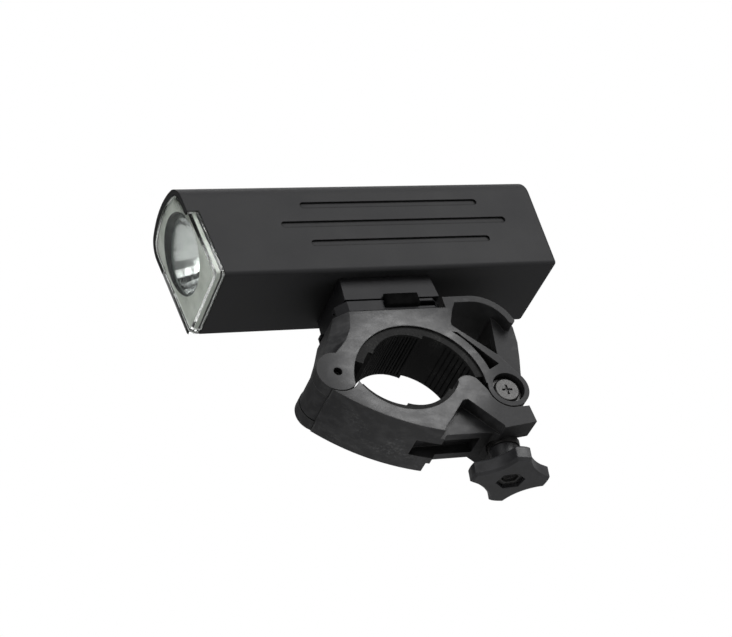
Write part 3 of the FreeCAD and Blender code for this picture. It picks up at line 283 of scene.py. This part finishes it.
def anodised_black():
    """The sleeve: fine blasted aluminium, dyed black. Its edges are painted darker as painted shade, and painted
    shade darkens its grooves and its underside near the mount.
    """
    material, tree, shader, place = begin("anodised_black")
    fine = grain(tree, place, 0.12)
    cloud = grain(tree, place, 14.0, 4.0)
    edge = edge_mask(tree, 0.35)
    # The edges are painted darker: painted shade along them.
    tone = added(tree, spread(tree, cloud, 0.42, 0.62), edge, -0.8)
    colour = mixed(tree, tone, (0.002, 0.002, 0.002), (0.030, 0.030, 0.032))
    # Painted shade in the colour itself: the grooves' walls, then the underside near the mount.
    groove_shade = painted_corner_shade(tree, colour, 0.9, 0.5, 0.93)
    mount_shade = painted_corner_shade(tree, groove_shade, 24.0, 0.35, 0.85)
    rough = added(tree, uneven(tree, fine, cloud, 0.56, 0.70), edge, 0.4)
    finish(tree, shader, mount_shade, rough)
    shader.inputs["Specular IOR Level"].default_value = 0.22
    relief(tree, shader, fine, 0.010)
    return material


def moulded_black():
    """The jaws: glass-filled nylon with flow marks and pale rubs. Its edges are painted paler, partly wear and
    partly painted highlight; near the bar the rubs are at full strength and the colour a little lighter, a painted
    sheen that fades further out; painted shade darkens its recesses.
    """
    material, tree, shader, place = begin("moulded_black")
    fine = grain(tree, place, 0.18)
    flow = grain(tree, stretched(tree, place, 1.0, 0.7, 0.55), 5.0, 5.0, 0.62)
    edge = edge_mask(tree, 0.3)
    # Painted sheen: near the bar the rubs are full and the colour lighter; further out the rubs fade to a quarter,
    # the colour darkens a little and the finish turns rougher.
    from_bar = off_axis(tree, place, (0, 0, 0), (1, 0, 1))
    sheen_falloff = spread(tree, from_bar, 0.0, 1.0, SHEEN_AND_RUBS_FULL_TO, SHEEN_AND_RUBS_FADED_FROM)
    share = spread(tree, from_bar, 1.0, 0.25, SHEEN_AND_RUBS_FULL_TO, SHEEN_AND_RUBS_FADED_FROM)
    rubs = combined(tree, "MULTIPLY", scuffs(tree, place, 9.0, 0.9), share)
    tone = added(tree, spread(tree, flow, 0.05, 0.4, 0.42, 0.7), rubs, 0.75)
    # The edges are painted paler, wear and painted highlight together.
    tone = added(tree, added(tree, tone, edge, 0.7), sheen_falloff, -0.06)
    colour = mixed(tree, tone, (0.011, 0.011, 0.012), (0.085, 0.085, 0.086))
    rough = spread(tree, added(tree, flow, fine, 0.5), 0.33, 0.55, 0.55, 1.0)
    # Painted shade darkens the recesses.
    finish(tree, shader, painted_corner_shade(tree, colour, 16.0, 0.3, 0.9), added(tree, rough, sheen_falloff, 0.25))
    shader.inputs["Specular IOR Level"].default_value = 0.34
    relief(tree, shader, added(tree, fine, flow, 1.5), 0.014, 0.3)
    return material


def seat_black():
    """The shoe, the seat, the rear cap and the plastic pieces inside: a duller moulding, with its edges painted
    paler as wear and painted highlight, and painted shade in its recesses.
    """
    material, tree, shader, place = begin("seat_black")
    fine = grain(tree, place, 0.2)
    cloud = grain(tree, place, 6.0, 4.0)
    # The edges are painted paler, wear and painted highlight together.
    tone = added(tree, spread(tree, cloud, 0.0, 0.5), edge_mask(tree, 0.3), 0.8)
    colour = mixed(tree, tone, (0.011, 0.011, 0.012), (0.030, 0.030, 0.032))
    # Painted shade darkens the recesses.
    finish(tree, shader, painted_corner_shade(tree, colour, 8.0), uneven(tree, fine, cloud, 0.44, 0.60))
    shader.inputs["Specular IOR Level"].default_value = 0.12
    relief(tree, shader, fine, 0.012, 0.25)
    return material


def tab_black():
    """The release tab: the same plastic from a polished mould."""
    material, tree, shader, place = begin("tab_black")
    cloud = grain(tree, place, 3.0, 4.0)
    colour = mixed(tree, spread(tree, cloud, 0, 1), (0.002, 0.002, 0.002), (0.006, 0.006, 0.006))
    finish(tree, shader, colour, spread(tree, cloud, 0.16, 0.28))
    shader.inputs["Specular IOR Level"].default_value = 0.0
    relief(tree, shader, grain(tree, place, 0.3), 0.010, 0.2)
    return material


def soft_rubber():
    """The liners, the button, the flap and the seals: black rubber with a breath of dust."""
    material, tree, shader, place = begin("soft_rubber")
    fine = grain(tree, place, 0.25, 4.0)
    colour = mixed(tree, scuffs(tree, place, 6.0, 0.5), (0.007, 0.007, 0.007), (0.045, 0.045, 0.043))
    finish(tree, shader, colour, spread(tree, fine, 0.6, 0.8))
    shader.inputs["Specular IOR Level"].default_value = 0.16
    relief(tree, shader, fine, 0.02, 0.12)
    return material


def knob_black():
    """The knob: the jaws' nylon, handled smooth, with its edges painted paler as wear and painted highlight."""
    material, tree, shader, place = begin("knob_black")
    fine = grain(tree, place, 0.16)
    rub = grain(tree, place, 4.0, 5.0)
    # The edges are painted paler, wear and painted highlight together.
    tone = added(tree, spread(tree, rub, 0.0, 0.45), edge_mask(tree, 0.45), 0.6)
    colour = mixed(tree, tone, (0.014, 0.014, 0.015), (0.046, 0.046, 0.050))
    finish(tree, shader, colour, uneven(tree, fine, rub, 0.34, 0.50))
    shader.inputs["Specular IOR Level"].default_value = 0.30
    relief(tree, shader, fine, 0.012, 0.4)
    return material


def blackened_steel():
    """The clamp's screw, pin, barrel nut and washer, and the rear cap's screws."""
    material, tree, shader, place = begin("blackened_steel")
    fine = grain(tree, place, 0.15)
    stain = grain(tree, place, 1.8, 5.0)
    colour = mixed(tree, spread(tree, stain, 0, 1), (0.014, 0.014, 0.014), (0.052, 0.051, 0.050))
    finish(tree, shader, colour, uneven(tree, fine, stain, 0.32, 0.54))
    shader.inputs["Metallic"].default_value = 0.7
    relief(tree, shader, fine, 0.008, 0.15)
    return material


def plated_steel():
    """The cell's contacts, the inlet's shell, the shoe's screws and the swivel's screw, washer and nut."""
    material, tree, shader, place = begin("plated_steel")
    fine = grain(tree, place, 0.2)
    stain = grain(tree, place, 2.5, 4.0)
    colour = mixed(tree, spread(tree, stain, 0, 1), (0.42, 0.42, 0.43), (0.62, 0.62, 0.61))
    finish(tree, shader, colour, uneven(tree, fine, stain, 0.22, 0.42))
    shader.inputs["Metallic"].default_value = 1.0
    relief(tree, shader, fine, 0.005, 0.1)
    return material


def bare_aluminium():
    """The heat sink and the LED's board: turned and blasted metal."""
    material, tree, shader, place = begin("bare_aluminium")
    fine = grain(tree, place, 0.15)
    turning = grain(tree, stretched(tree, place, 0.1, 1.0, 1.0), 0.8, 3.0)
    colour = mixed(tree, spread(tree, turning, 0, 1), (0.55, 0.56, 0.57), (0.72, 0.73, 0.74))
    finish(tree, shader, colour, uneven(tree, fine, turning, 0.3, 0.5))
    shader.inputs["Metallic"].default_value = 1.0
    relief(tree, shader, fine, 0.006, 0.2)
    return material


def mirror_coat():
    """The reflector: vapour-coated plastic with a faint ripple."""
    material, tree, shader, place = begin("mirror_coat")
    ripple = grain(tree, stretched(tree, place, 3.0, 3.0, 1.0), 2.2, 2.0)
    haze = grain(tree, place, 0.4, 3.0)
    colour = mixed(tree, spread(tree, ripple, 0, 1), (0.84, 0.85, 0.86), (0.93, 0.94, 0.95))
    finish(tree, shader, colour, spread(tree, haze, 0.07, 0.14))
    shader.inputs["Metallic"].default_value = 1.0
    relief(tree, shader, ripple, 0.012)
    return material


def clear_lens():
    """The front cap: clear polycarbonate with a trace of moulding haze and a few rubs."""
    material, tree, shader, place = begin("clear_lens")
    rubs = scuffs(tree, place, 5.0, 0.5)
    flow = grain(tree, place, 2.5, 3.0)
    streaks = grain(tree, stretched(tree, place, 0.5, 0.5, 4.0), 0.9, 2.0)
    colour = mixed(tree, spread(tree, flow, 0, 1), (0.86, 0.89, 0.86), (0.93, 0.95, 0.93))
    finish(tree, shader, colour, spread(tree, rubs, 0.02, 0.30, 0.0, 1.0))
    shader.inputs["Transmission Weight"].default_value = 1.0
    shader.inputs["IOR"].default_value = 1.3
    relief(tree, shader, added(tree, flow, streaks, 0.5), 0.06)
    return material


def grey_ring():
    """The frame behind the window: pale grey plastic on its face, near black down the tube of the window."""
    material, tree, shader, place = begin("grey_ring")
    fine = grain(tree, place, 0.3)
    cloud = grain(tree, place, 4.0, 4.0)
    face = mixed(tree, spread(tree, cloud, 0, 1), (0.50, 0.52, 0.48), (0.72, 0.74, 0.70))
    radius = off_axis(tree, place, (0, 0, WINDOW_Z), (0, 1, 1))
    on_face = spread(tree, radius, 0.0, 1.0, (WINDOW_R + 0.03) * MM, (WINDOW_R + 0.10) * MM)
    finish(tree, shader, mixed(tree, on_face, (0.012, 0.015, 0.017), face), spread(tree, fine, 0.25, 0.4))
    shader.inputs["Specular IOR Level"].default_value = 0.25
    relief(tree, shader, fine, 0.008)
    return material


def ring_grey():
    """The thin steps at the reflector's mouth."""
    material, tree, shader, place = begin("ring_grey")
    fine = grain(tree, place, 0.3)
    cloud = grain(tree, place, 3.0, 4.0)
    colour = mixed(tree, spread(tree, cloud, 0, 1), (0.14, 0.17, 0.16), (0.24, 0.28, 0.27))
    finish(tree, shader, colour, spread(tree, fine, 0.2, 0.35))
    relief(tree, shader, fine, 0.008)
    return material


def led_phosphor():
    """The LED: yellow phosphor under a clear dome."""
    material, tree, shader, place = begin("led_phosphor")
    fine = grain(tree, place, 0.1)
    colour = mixed(tree, fine, (0.70, 0.60, 0.16), (0.92, 0.84, 0.34))
    finish(tree, shader, colour, spread(tree, fine, 0.2, 0.35))
    shader.inputs["Coat Weight"].default_value = 0.6
    relief(tree, shader, fine, 0.005)
    return material


def board_green():
    """The driver board's solder mask, with the weave showing through."""
    material, tree, shader, place = begin("board_green")
    weave = grain(tree, stretched(tree, place, 1.0, 4.0, 1.0), 0.5, 2.0)
    colour = mixed(tree, spread(tree, weave, 0, 1), (0.010, 0.075, 0.035), (0.020, 0.12, 0.055))
    finish(tree, shader, colour, spread(tree, weave, 0.25, 0.4))
    relief(tree, shader, weave, 0.01)
    return material


def flex_amber():
    """The flat cable: amber film over copper tracks."""
    material, tree, shader, place = begin("flex_amber")
    tracks = grain(tree, stretched(tree, place, 8.0, 1.0, 1.0), 0.5, 1.0)
    colour = mixed(tree, spread(tree, tracks, 0, 1, 0.45, 0.55), (0.45, 0.17, 0.03), (0.62, 0.30, 0.07))
    finish(tree, shader, colour, spread(tree, tracks, 0.25, 0.4))
    relief(tree, shader, tracks, 0.01)
    return material


def cell_wrap():
    """Shrink wrap on the cell."""
    material, tree, shader, place = begin("cell_wrap")
    crease = grain(tree, stretched(tree, place, 6.0, 1.0, 1.0), 2.0, 4.0)
    colour = mixed(tree, spread(tree, crease, 0, 1), (0.03, 0.10, 0.24), (0.05, 0.15, 0.32))
    finish(tree, shader, colour, spread(tree, crease, 0.25, 0.4))
    relief(tree, shader, crease, 0.03)
    return material


# Modelling by hand: primitives shaped in edit mode

def clear_selection():
    bpy.ops.object.select_all(action="DESELECT")


def only(piece):
    """Selects one piece and makes it the active one."""
    clear_selection()
    piece.select_set(True)
    bpy.context.view_layer.objects.active = piece


def pick_faces(piece, test):
    """In edit mode, selects just the faces whose middle and normal pass the test."""
    bpy.ops.mesh.select_mode(type="FACE")
    bpy.ops.mesh.select_all(action="DESELECT")
    mesh = bmesh.from_edit_mesh(piece.data)
    for face in mesh.faces:
        if test(face.calc_center_median() / MM, face.normal):
            face.select_set(True)
    bmesh.update_edit_mesh(piece.data)


def closed_up(piece):
    """Merges doubles, turns every face outwards and leaves edit mode."""
    bpy.ops.mesh.select_mode(type="VERT")
    bpy.ops.mesh.select_all(action="SELECT")
    bpy.ops.mesh.remove_doubles(threshold=0.0005 * MM)
    bpy.ops.mesh.normals_make_consistent(inside=False)
    bpy.ops.object.mode_set(mode="OBJECT")
    return piece


def drawn_out(name, profile, steps, fill):
    """A circle drawn out about Z, ring by ring, through (radius, height) points. It stays in edit mode."""
    clear_selection()
    radius, height = profile[0]
    bpy.ops.mesh.primitive_circle_add(vertices=steps, radius=radius * MM, fill_type=fill)
    piece = bpy.context.object
    piece.name = name
    bpy.ops.object.mode_set(mode="EDIT")
    bpy.ops.mesh.select_mode(type="EDGE")
    bpy.ops.mesh.select_all(action="SELECT")
    bpy.ops.transform.translate(value=(0, 0, height * MM))
    for next_radius, next_height in profile[1:]:
        bpy.ops.mesh.extrude_edges_move(TRANSFORM_OT_translate={"value": (0, 0, (next_height - height) * MM)})
        share = next_radius / radius
        bpy.ops.transform.resize(value=(share, share, 1), center_override=(0, 0, 0))
        radius, height = next_radius, next_height
    return piece


def turned(name, profile, steps=96):
    """A solid round piece about Z with flat ends."""
    piece = drawn_out(name, profile, steps, "NGON")
    bpy.ops.mesh.edge_face_add()
    return closed_up(piece)


def turned_ring(name, profile, steps=96):
    """A round piece with an open middle: its profile runs all the way round the wall."""
    return closed_up(drawn_out(name, profile + profile[:1], steps, "NOTHING"))


def block(name, low, high):
    """A box between two corners, in millimetres."""
    clear_selection()
    middle = [(a + b) / 2 * MM for a, b in zip(low, high)]
    bpy.ops.mesh.primitive_cube_add(size=1, location=middle)
    piece = bpy.context.object
    piece.name = name
    piece.scale = [(b - a) * MM for a, b in zip(low, high)]
    bpy.ops.object.transform_apply(location=True, rotation=True, scale=True)
    return piece


def settled(piece, place=(0, 0, 0), turn=(0, 0, 0)):
    """Moves and turns a piece, in millimetres and degrees, then puts its place into its mesh."""
    only(piece)
    piece.location = [value * MM for value in place]
    piece.rotation_euler = [math.radians(a) for a in turn]
    bpy.ops.object.transform_apply(location=True, rotation=True, scale=True)
    return piece


def copied(piece):
    """A copy with a mesh of its own."""
    only(piece)
    bpy.ops.object.duplicate(linked=False)
    return bpy.context.object


def as_one(*parts):
    """Joins the parts into the first of them."""
    clear_selection()
    for part in parts:
        part.select_set(True)
    bpy.context.view_layer.objects.active = parts[0]
    bpy.ops.object.join()
    return parts[0]


def cut_away(piece, tool):
    """Cuts a tool's shape out of a piece."""
    only(piece)
    cut = piece.modifiers.new("cut", "BOOLEAN")
    cut.operation = "DIFFERENCE"
    cut.solver = "EXACT"
    cut.object = tool
    bpy.ops.object.modifier_apply(modifier=cut.name)
    bpy.data.objects.remove(tool, do_unlink=True)


def softened(piece, width_mm, angle=30.0):
    """Rounds the piece's own edges where they bend by more than the angle."""
    only(piece)
    bevel = piece.modifiers.new("edges", "BEVEL")
    bevel.width = width_mm * MM
    bevel.segments = 2
    bevel.limit_method = "ANGLE"
    bevel.angle_limit = math.radians(angle)
    bpy.ops.object.modifier_apply(modifier=bevel.name)
    return piece


def smoothed(piece, angle=30.0):
    """Shades a piece smooth, but for edges that bend by more than the angle."""
    only(piece)
    bpy.ops.object.shade_smooth_by_angle(angle=math.radians(angle))


def merged_copy(node, name):
    """A node's own shape as one joined skin, ready to be worked on."""
    piece = bpy.data.objects.new(name, NODES[node].data.copy())
    bpy.context.scene.collection.objects.link(piece)
    only(piece)
    bpy.ops.object.mode_set(mode="EDIT")
    closed_up(piece)
    bpy.ops.object.mode_set(mode="EDIT")
    bpy.ops.mesh.select_all(action="SELECT")
    bpy.ops.mesh.dissolve_limited(angle_limit=math.radians(0.4))
    bpy.ops.object.mode_set(mode="OBJECT")
    return piece


def fitted(piece, material, body, slot, *nodes):
    """Gives a finished piece its finish, its body and the nodes that it stands for; its slot is not used."""
    piece.data.materials.clear()
    piece.data.materials.append(material)
    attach(piece, body)
    if nodes:
        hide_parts(*nodes)


# The optics

def rounded_lens(material):
    """The clear cap with its moulded edges rounded, so that they catch the light."""
    piece = merged_copy("front_lens", "front_lens_rounded")
    softened(piece, 0.22, 40)
    smoothed(piece)
    fitted(piece, material, "light", "clear_plastic", "front_lens")


def faceted_reflector(material):
    """The bowl: rings of flat facets that break up what they mirror."""
    inner = []
    outer = []
    for i in range(REFLECTOR_RINGS + 1):
        radius = REFLECTOR_HOLE_R + (REFLECTOR_RIM_R - REFLECTOR_HOLE_R) * i / REFLECTOR_RINGS
        depth = (REFLECTOR_RIM_R ** 2 - radius ** 2) / (4 * REFLECTOR_FOCUS)
        inner.append((radius, depth))
        outer.append((radius + REFLECTOR_WALL, depth))
    outer[-1] = (REFLECTOR_RIM_R + REFLECTOR_WALL * 0.6, 0)
    piece = turned_ring("reflector_bowl", inner + outer[::-1], REFLECTOR_FACETS)
    settled(piece, (REFLECTOR_RIM_X, 0, WINDOW_Z), (0, 90, 0))
    bpy.ops.object.shade_flat()
    fitted(piece, material, "light", "mirror_coat", "reflector")


def window_steps(material):
    """Two thin steps inside the window's tube, in front of the reflector's rim."""
    profile = [
        (WINDOW_R - 0.05, 0), (WINDOW_R - 0.05, -0.36), (WINDOW_R - 0.16, -0.44), (WINDOW_R - 0.27, -0.36),
        (WINDOW_R - 0.27, -0.20), (WINDOW_R - 0.39, -0.28), (WINDOW_R - 0.5, -0.20), (WINDOW_R - 0.5, 0),
    ]
    piece = turned_ring("window_steps", profile, 128)
    settled(piece, (REFLECTOR_RIM_X - 0.12, 0, WINDOW_Z), (0, 90, 0))
    smoothed(piece, 25)
    fitted(piece, material, "light", "grey_ring")


# The clamp

def grooved(liner, centre, radius, depth, from_deg, spacing_deg, count):
    """Cuts grooves along the bar into a liner, evenly spaced round a centre."""
    first = block("groove", (radius - 1.0, -LIP_Y, -GROOVE_HALF_W), (radius + depth, LIP_Y, GROOVE_HALF_W))
    tools = []
    for i in range(count):
        tools.append(settled(copied(first), (centre[0], 0, centre[1]), (0, -from_deg - spacing_deg * i, 0)))
    bpy.data.objects.remove(first, do_unlink=True)
    cut_away(liner, as_one(*tools))


def lips(from_deg, to_deg):
    """Plain bands along a liner's two ends, which close the ends of its grooves."""
    bands = []
    for end in (-LINER_END, LINER_END):
        clear_selection()
        bpy.ops.mesh.primitive_plane_add(size=LIP_T * MM)
        band = bpy.context.object
        bpy.ops.object.mode_set(mode="EDIT")
        bpy.ops.mesh.select_all(action="SELECT")
        bpy.ops.transform.translate(value=((BAR_R + LIP_T / 2) * MM, end * MM, 0))
        bpy.ops.mesh.spin(steps=40, angle=math.radians(to_deg - from_deg), center=(0, 0, 0), axis=(0, 1, 0))
        bands.append(settled(closed_up(band), (0, 0, 0), (0, -from_deg, 0)))
    return bands


def grip_liners(material):
    """The rubber liners with a fine set of grooves between the coarse ones."""
    upper = merged_copy("upper_pad", "grip_liner_upper")
    grooved(upper, (0, 0), BAR_R, 0.5, 68.0, 9.0, 9)
    grooved(upper, UPPER_BORE, UPPER_LINER_R, 0.4, 10.0, 5.2, 8)
    upper = as_one(upper, *lips(58.0, 150.0))
    smoothed(upper)
    fitted(upper, material, "clamp_upper", "black_rubber", "upper_pad")
    lower = merged_copy("lower_pad", "grip_liner_lower")
    grooved(lower, (0, 0), BAR_R, 0.45, 258.5, 9.0, 7)
    lower = as_one(lower, *lips(248.0, 324.0))
    smoothed(lower)
    fitted(lower, material, "clamp_lower", "black_rubber", "lower_pad")


def mirrored(half_profile):
    """A profile followed by its own mirror image at the other end."""
    return half_profile + [(radius, -height) for radius, height in half_profile[::-1]]


def dimpled_pin(material):
    """The hinge pin: its ends stop short of the jaw's faces and are drilled."""
    piece = turned("hinge_pin_turned", mirrored([
        (0.25, PIN_HALF - 0.75), (0.62, PIN_HALF - 0.4), (0.7, PIN_HALF), (PIN_R - 0.2, PIN_HALF),
        (PIN_R, PIN_HALF - 0.2),
    ]), 48)
    settled(piece, (PIN[0], 0, PIN[1]), (90, 0, 0))
    smoothed(piece, 35)
    fitted(piece, material, "clamp_upper", "black_steel", "hinge_pin")


def slotted_barrel(material):
    """The barrel nut: a stepped cross pin with a plain cross slot in each end, bored for the screw."""
    shoulder = BARREL_HALF - BARREL_STEP
    piece = turned("barrel_turned", mirrored([
        (BARREL_STEP_R - 0.35, BARREL_HALF), (BARREL_STEP_R, BARREL_HALF - 0.3), (BARREL_STEP_R, shoulder),
        (BARREL_R - 0.25, shoulder), (BARREL_R, shoulder - 0.25),
    ]))
    for end in (BARREL_HALF, -BARREL_HALF):
        for half_x, half_y in ((SLOT_HALF_L, SLOT_HALF_W), (SLOT_HALF_W, SLOT_HALF_L)):
            low, high = (-half_x, -half_y, end - SLOT_DEPTH), (half_x, half_y, end + SLOT_DEPTH)
            cut_away(piece, block("slot", low, high))
    settled(piece, (BARREL[0], 0, BARREL[1]), (90, 0, 0))
    bore = turned("bore", [(SCREW_R + BORE_GAP, -BORE_HALF), (SCREW_R + BORE_GAP, BORE_HALF)], 64)
    cut_away(piece, settled(bore, (BARREL[0], 0, BARREL[1]), (0, SCREW_TILT, 0)))
    smoothed(piece, 35)
    fitted(piece, material, "barrel", "black_steel", "barrel_nut")


def thread(start, end):
    """A wire of triangular section, one corner outwards, wound along Z: the screw's right-hand thread."""
    clear_selection()
    bpy.ops.mesh.primitive_circle_add(vertices=3, radius=THREAD_R * MM, fill_type="NOTHING")
    piece = settled(bpy.context.object, (SCREW_R - THREAD_R, 0, start), (-90, -90, 0))
    winding = piece.modifiers.new("winding", "SCREW")
    winding.axis = "Z"
    winding.steps = 24
    winding.render_steps = 24
    winding.screw_offset = SCREW_PITCH * MM
    winding.iterations = int((end - start) / SCREW_PITCH)
    bpy.ops.object.modifier_apply(modifier=winding.name)
    bpy.ops.object.mode_set(mode="EDIT")
    bpy.ops.mesh.select_mode(type="EDGE")
    bpy.ops.mesh.select_all(action="DESELECT")
    bpy.ops.mesh.select_non_manifold()
    bpy.ops.mesh.fill_holes(sides=4)
    return closed_up(piece)


def bolt_head():
    """The screw's hexagon head with a six-sided socket in its end."""
    clear_selection()
    bpy.ops.mesh.primitive_cylinder_add(vertices=6, radius=(HEX_R - HEAD_GAP) * MM, depth=HEAD_T * MM)
    head = bpy.context.object
    bpy.ops.object.mode_set(mode="EDIT")
    pick_faces(head, lambda middle, normal: normal.z < -0.9)
    bpy.ops.mesh.inset(thickness=SOCKET_WALL * MM)
    bpy.ops.mesh.extrude_region_move(TRANSFORM_OT_translate={"value": (0, 0, SOCKET_DEPTH * MM)})
    bpy.ops.mesh.inset(thickness=SOCKET_FLOOR_RING * MM)
    softened(closed_up(head), 0.18)
    return settled(head, (0, 0, -HEAD_START - HEAD_T / 2), (0, 0, HEX_PHASE - 90))


def clamp_bolt(material):
    """The clamp's screw: threaded shank, chamfered tip and head."""
    root_r = SCREW_R - THREAD_DEPTH
    core = turned("clamp_bolt", [
        (root_r - 0.7, SCREW_TIP), (root_r, SCREW_TIP - 0.8), (root_r, -HEAD_START),
    ], 48)
    bolt = as_one(core, thread(-SCREW_NECK, SCREW_TIP - 1.2), bolt_head())
    settled(bolt, (BARREL[0], 0, BARREL[1]), (0, SCREW_TILT, 0))
    smoothed(bolt, 28)
    fitted(bolt, material, "knob", "black_steel", "clamp_screw")


# The button, the flap and the tab

def dished_button(material):
    """The button: a raised rim round a shallow dish, and the flange that keeps it in."""
    low, high = [corner[2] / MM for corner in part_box("power_button")]
    flange_r = BUTTON_R + 0.8
    profile = [
        (flange_r, low), (flange_r, low + 0.78), (BUTTON_R, low + 0.8), (BUTTON_R, high - 0.42),
        (BUTTON_R - 0.12, high - 0.14), (BUTTON_R - 0.4, high), (BUTTON_R - 0.75, high - 0.03),
        (BUTTON_R - 1.0, high - 0.28), (BUTTON_R - 2.2, high - 0.36), (0.6, high - 0.30), (0.25, high - 0.29),
    ]
    piece = turned("button_cap", profile)
    settled(piece, (BUTTON_X, 0, 0))
    smoothed(piece, 40)
    fitted(piece, material, "button", "black_rubber", "power_button")


def ribbed_flap(material):
    """The inlet's flap: a soft-edged rubber leaf with a hinge roll and three ribs for a fingernail."""
    leaf = merged_copy("port_cover", "inlet_flap")
    softened(leaf, 0.12, 50)
    low, high = [[value / MM for value in corner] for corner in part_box("port_cover")]
    face = (low[0] + high[0]) / 2 + FLAP_T / 2
    ribs = []
    for row in range(3):
        z = low[2] + RIB_FIRST + row * RIB_SPACING
        rib_low = (face - RIB_ROOT, -RIB_HALF_L, z - RIB_HALF_W)
        rib_high = (face + RIB_HEIGHT, RIB_HALF_L, z + RIB_HALF_W)
        ribs.append(softened(block("rib", rib_low, rib_high), 0.12))
    piece = as_one(leaf, *ribs)
    smoothed(piece, 40)
    fitted(piece, material, "flap", "black_rubber", "port_cover")


def rounded_tab(material):
    """The release tab with its corners rounded."""
    piece = merged_copy("release_tab", "release_tab_rounded")
    softened(piece, 0.15)
    smoothed(piece, 35)
    fitted(piece, material, "tab", "black_plastic", "release_tab")


def dress_part():
    """Gives each node of the model its finish, then makes the pieces and gives them theirs."""
    rubber = soft_rubber()
    steel = blackened_steel()
    mirror = mirror_coat()
    tab = tab_black()
    clear = clear_lens()
    finishes = {
        anodised_black(): ["housing"],
        moulded_black(): ["upper_jaw", "lower_jaw"],
        seat_black(): ["light_shoe", "seat_plate", "cell_holder", "rear_cap", "tact_switch", "switch_stem"],
        tab: ["release_tab"],
        rubber: ["upper_pad", "lower_pad", "power_button", "port_cover", "lens_seal", "rear_seal"],
        knob_black(): ["clamp_knob"],
        steel: ["hinge_pin", "barrel_nut", "knob_washer", "clamp_screw", "rear_cap_screws"],
        plated_steel(): ["contact_spring", "contact_plate", "charging_port", "shoe_screws", "swivel_screw",
                         "swivel_washer", "swivel_nut"],
        bare_aluminium(): ["heat_sink", "led_board"],
        mirror: ["reflector"],
        clear: ["front_lens"],
        grey_ring(): ["bezel"],
        led_phosphor(): ["led_emitter"],
        board_green(): ["driver_board"],
        flex_amber(): ["led_flex"],
        cell_wrap(): ["battery_cell"],
    }
    for material, names in finishes.items():
        for name in names:
            NODES[name].data.materials.clear()
            NODES[name].data.materials.append(material)
    rounded_lens(clear)
    faceted_reflector(mirror)
    window_steps(ring_grey())
    grip_liners(rubber)
    dimpled_pin(steel)
    slotted_barrel(steel)
    clamp_bolt(steel)
    dished_button(rubber)
    ribbed_flap(rubber)
    rounded_tab(tab)


# Studio

def make_camera():
    """The photograph's viewpoint: below the light and ahead of it, rolled a little."""
    data = bpy.data.cameras.new("camera")
    data.sensor_width = 36.0
    data.lens = CAMERA_LENS_MM
    data.clip_start = 0.01
    camera = bpy.data.objects.new("camera", data)
    camera.location = CAMERA_PLACE
    camera.rotation_euler = [math.radians(a) for a in CAMERA_TURN]
    bpy.context.scene.collection.objects.link(camera)
    bpy.context.scene.camera = camera


def make_floor():
    """A pale floor, lifted a little towards white for the camera alone."""
    clear_selection()
    bpy.ops.mesh.primitive_plane_add(size=FLOOR_SIZE, location=(0, 0, FLOOR_Z))
    floor = bpy.context.object
    floor.name = "floor"
    material, tree, shader, place = begin("pale_floor")
    colour = mixed(tree, grain(tree, place, 400.0), (0.78, 0.78, 0.78), (0.82, 0.82, 0.82))
    tree.links.new(colour, shader.inputs["Base Color"])
    shader.inputs["Roughness"].default_value = 0.9
    glow = tree.nodes.new("ShaderNodeEmission")
    seen = tree.nodes.new("ShaderNodeLightPath").outputs["Is Camera Ray"]
    tree.links.new(spread(tree, seen, 0.0, FLOOR_GLOW, 0.0, 1.0), glow.inputs["Strength"])
    both = tree.nodes.new("ShaderNodeAddShader")
    tree.links.new(shader.outputs["BSDF"], both.inputs[0])
    tree.links.new(glow.outputs["Emission"], both.inputs[1])
    tree.links.new(both.outputs["Shader"], tree.nodes["Material Output"].inputs["Surface"])
    floor.data.materials.append(material)


def make_card():
    """A black card out of view, which the window mirrors, so that one sees into the light."""
    clear_selection()
    bpy.ops.mesh.primitive_plane_add(size=CARD_SIZE, location=CARD_PLACE)
    card = bpy.context.object
    card.name = "black_card"
    card.rotation_euler = Vector(CARD_FACES).to_track_quat("Z", "Y").to_euler()
    card.visible_camera = False
    card.visible_shadow = False
    card.visible_diffuse = False
    card.visible_transmission = False
    material, tree, shader, place = begin("black_card")
    colour = mixed(tree, grain(tree, place, 2.0), (0.010, 0.010, 0.010), (0.016, 0.016, 0.016))
    tree.links.new(colour, shader.inputs["Base Color"])
    shader.inputs["Specular IOR Level"].default_value = 0.0
    card.data.materials.append(material)


def make_world():
    """White surroundings to the camera and through glass, dimmer in reflections, and soft grey as a light."""
    world = bpy.data.worlds.new("studio")
    bpy.context.scene.world = world
    world.use_nodes = True
    tree = world.node_tree
    background = tree.nodes["Background"]
    background.inputs["Color"].default_value = (1, 1, 1, 1)
    path = tree.nodes.new("ShaderNodeLightPath").outputs
    seen = combined(tree, "MAXIMUM", path["Is Camera Ray"], path["Is Transmission Ray"])
    mirrored_at = spread(tree, path["Is Glossy Ray"], WORLD_SOFT, WORLD_MIRRORED, 0.0, 1.0)
    tree.links.new(combined(tree, "MAXIMUM", seen, mirrored_at), background.inputs["Strength"])


def softbox(name, place, size, power):
    """A square lamp that faces the object."""
    data = bpy.data.lights.new(name, "AREA")
    data.shape = "SQUARE"
    data.size = size
    data.energy = power
    lamp = bpy.data.objects.new(name, data)
    lamp.location = place
    lamp.rotation_euler = (-Vector(place)).to_track_quat("-Z", "Y").to_euler()
    lamp.visible_camera = False
    bpy.context.scene.collection.objects.link(lamp)


def make_studio():
    """All that is there for the picture alone."""
    bpy.context.scene.view_settings.view_transform = "Standard"
    make_floor()
    make_card()
    make_world()
    for lamp in LAMPS:
        softbox(*lamp)
    make_camera()


dress_part()
make_studio()
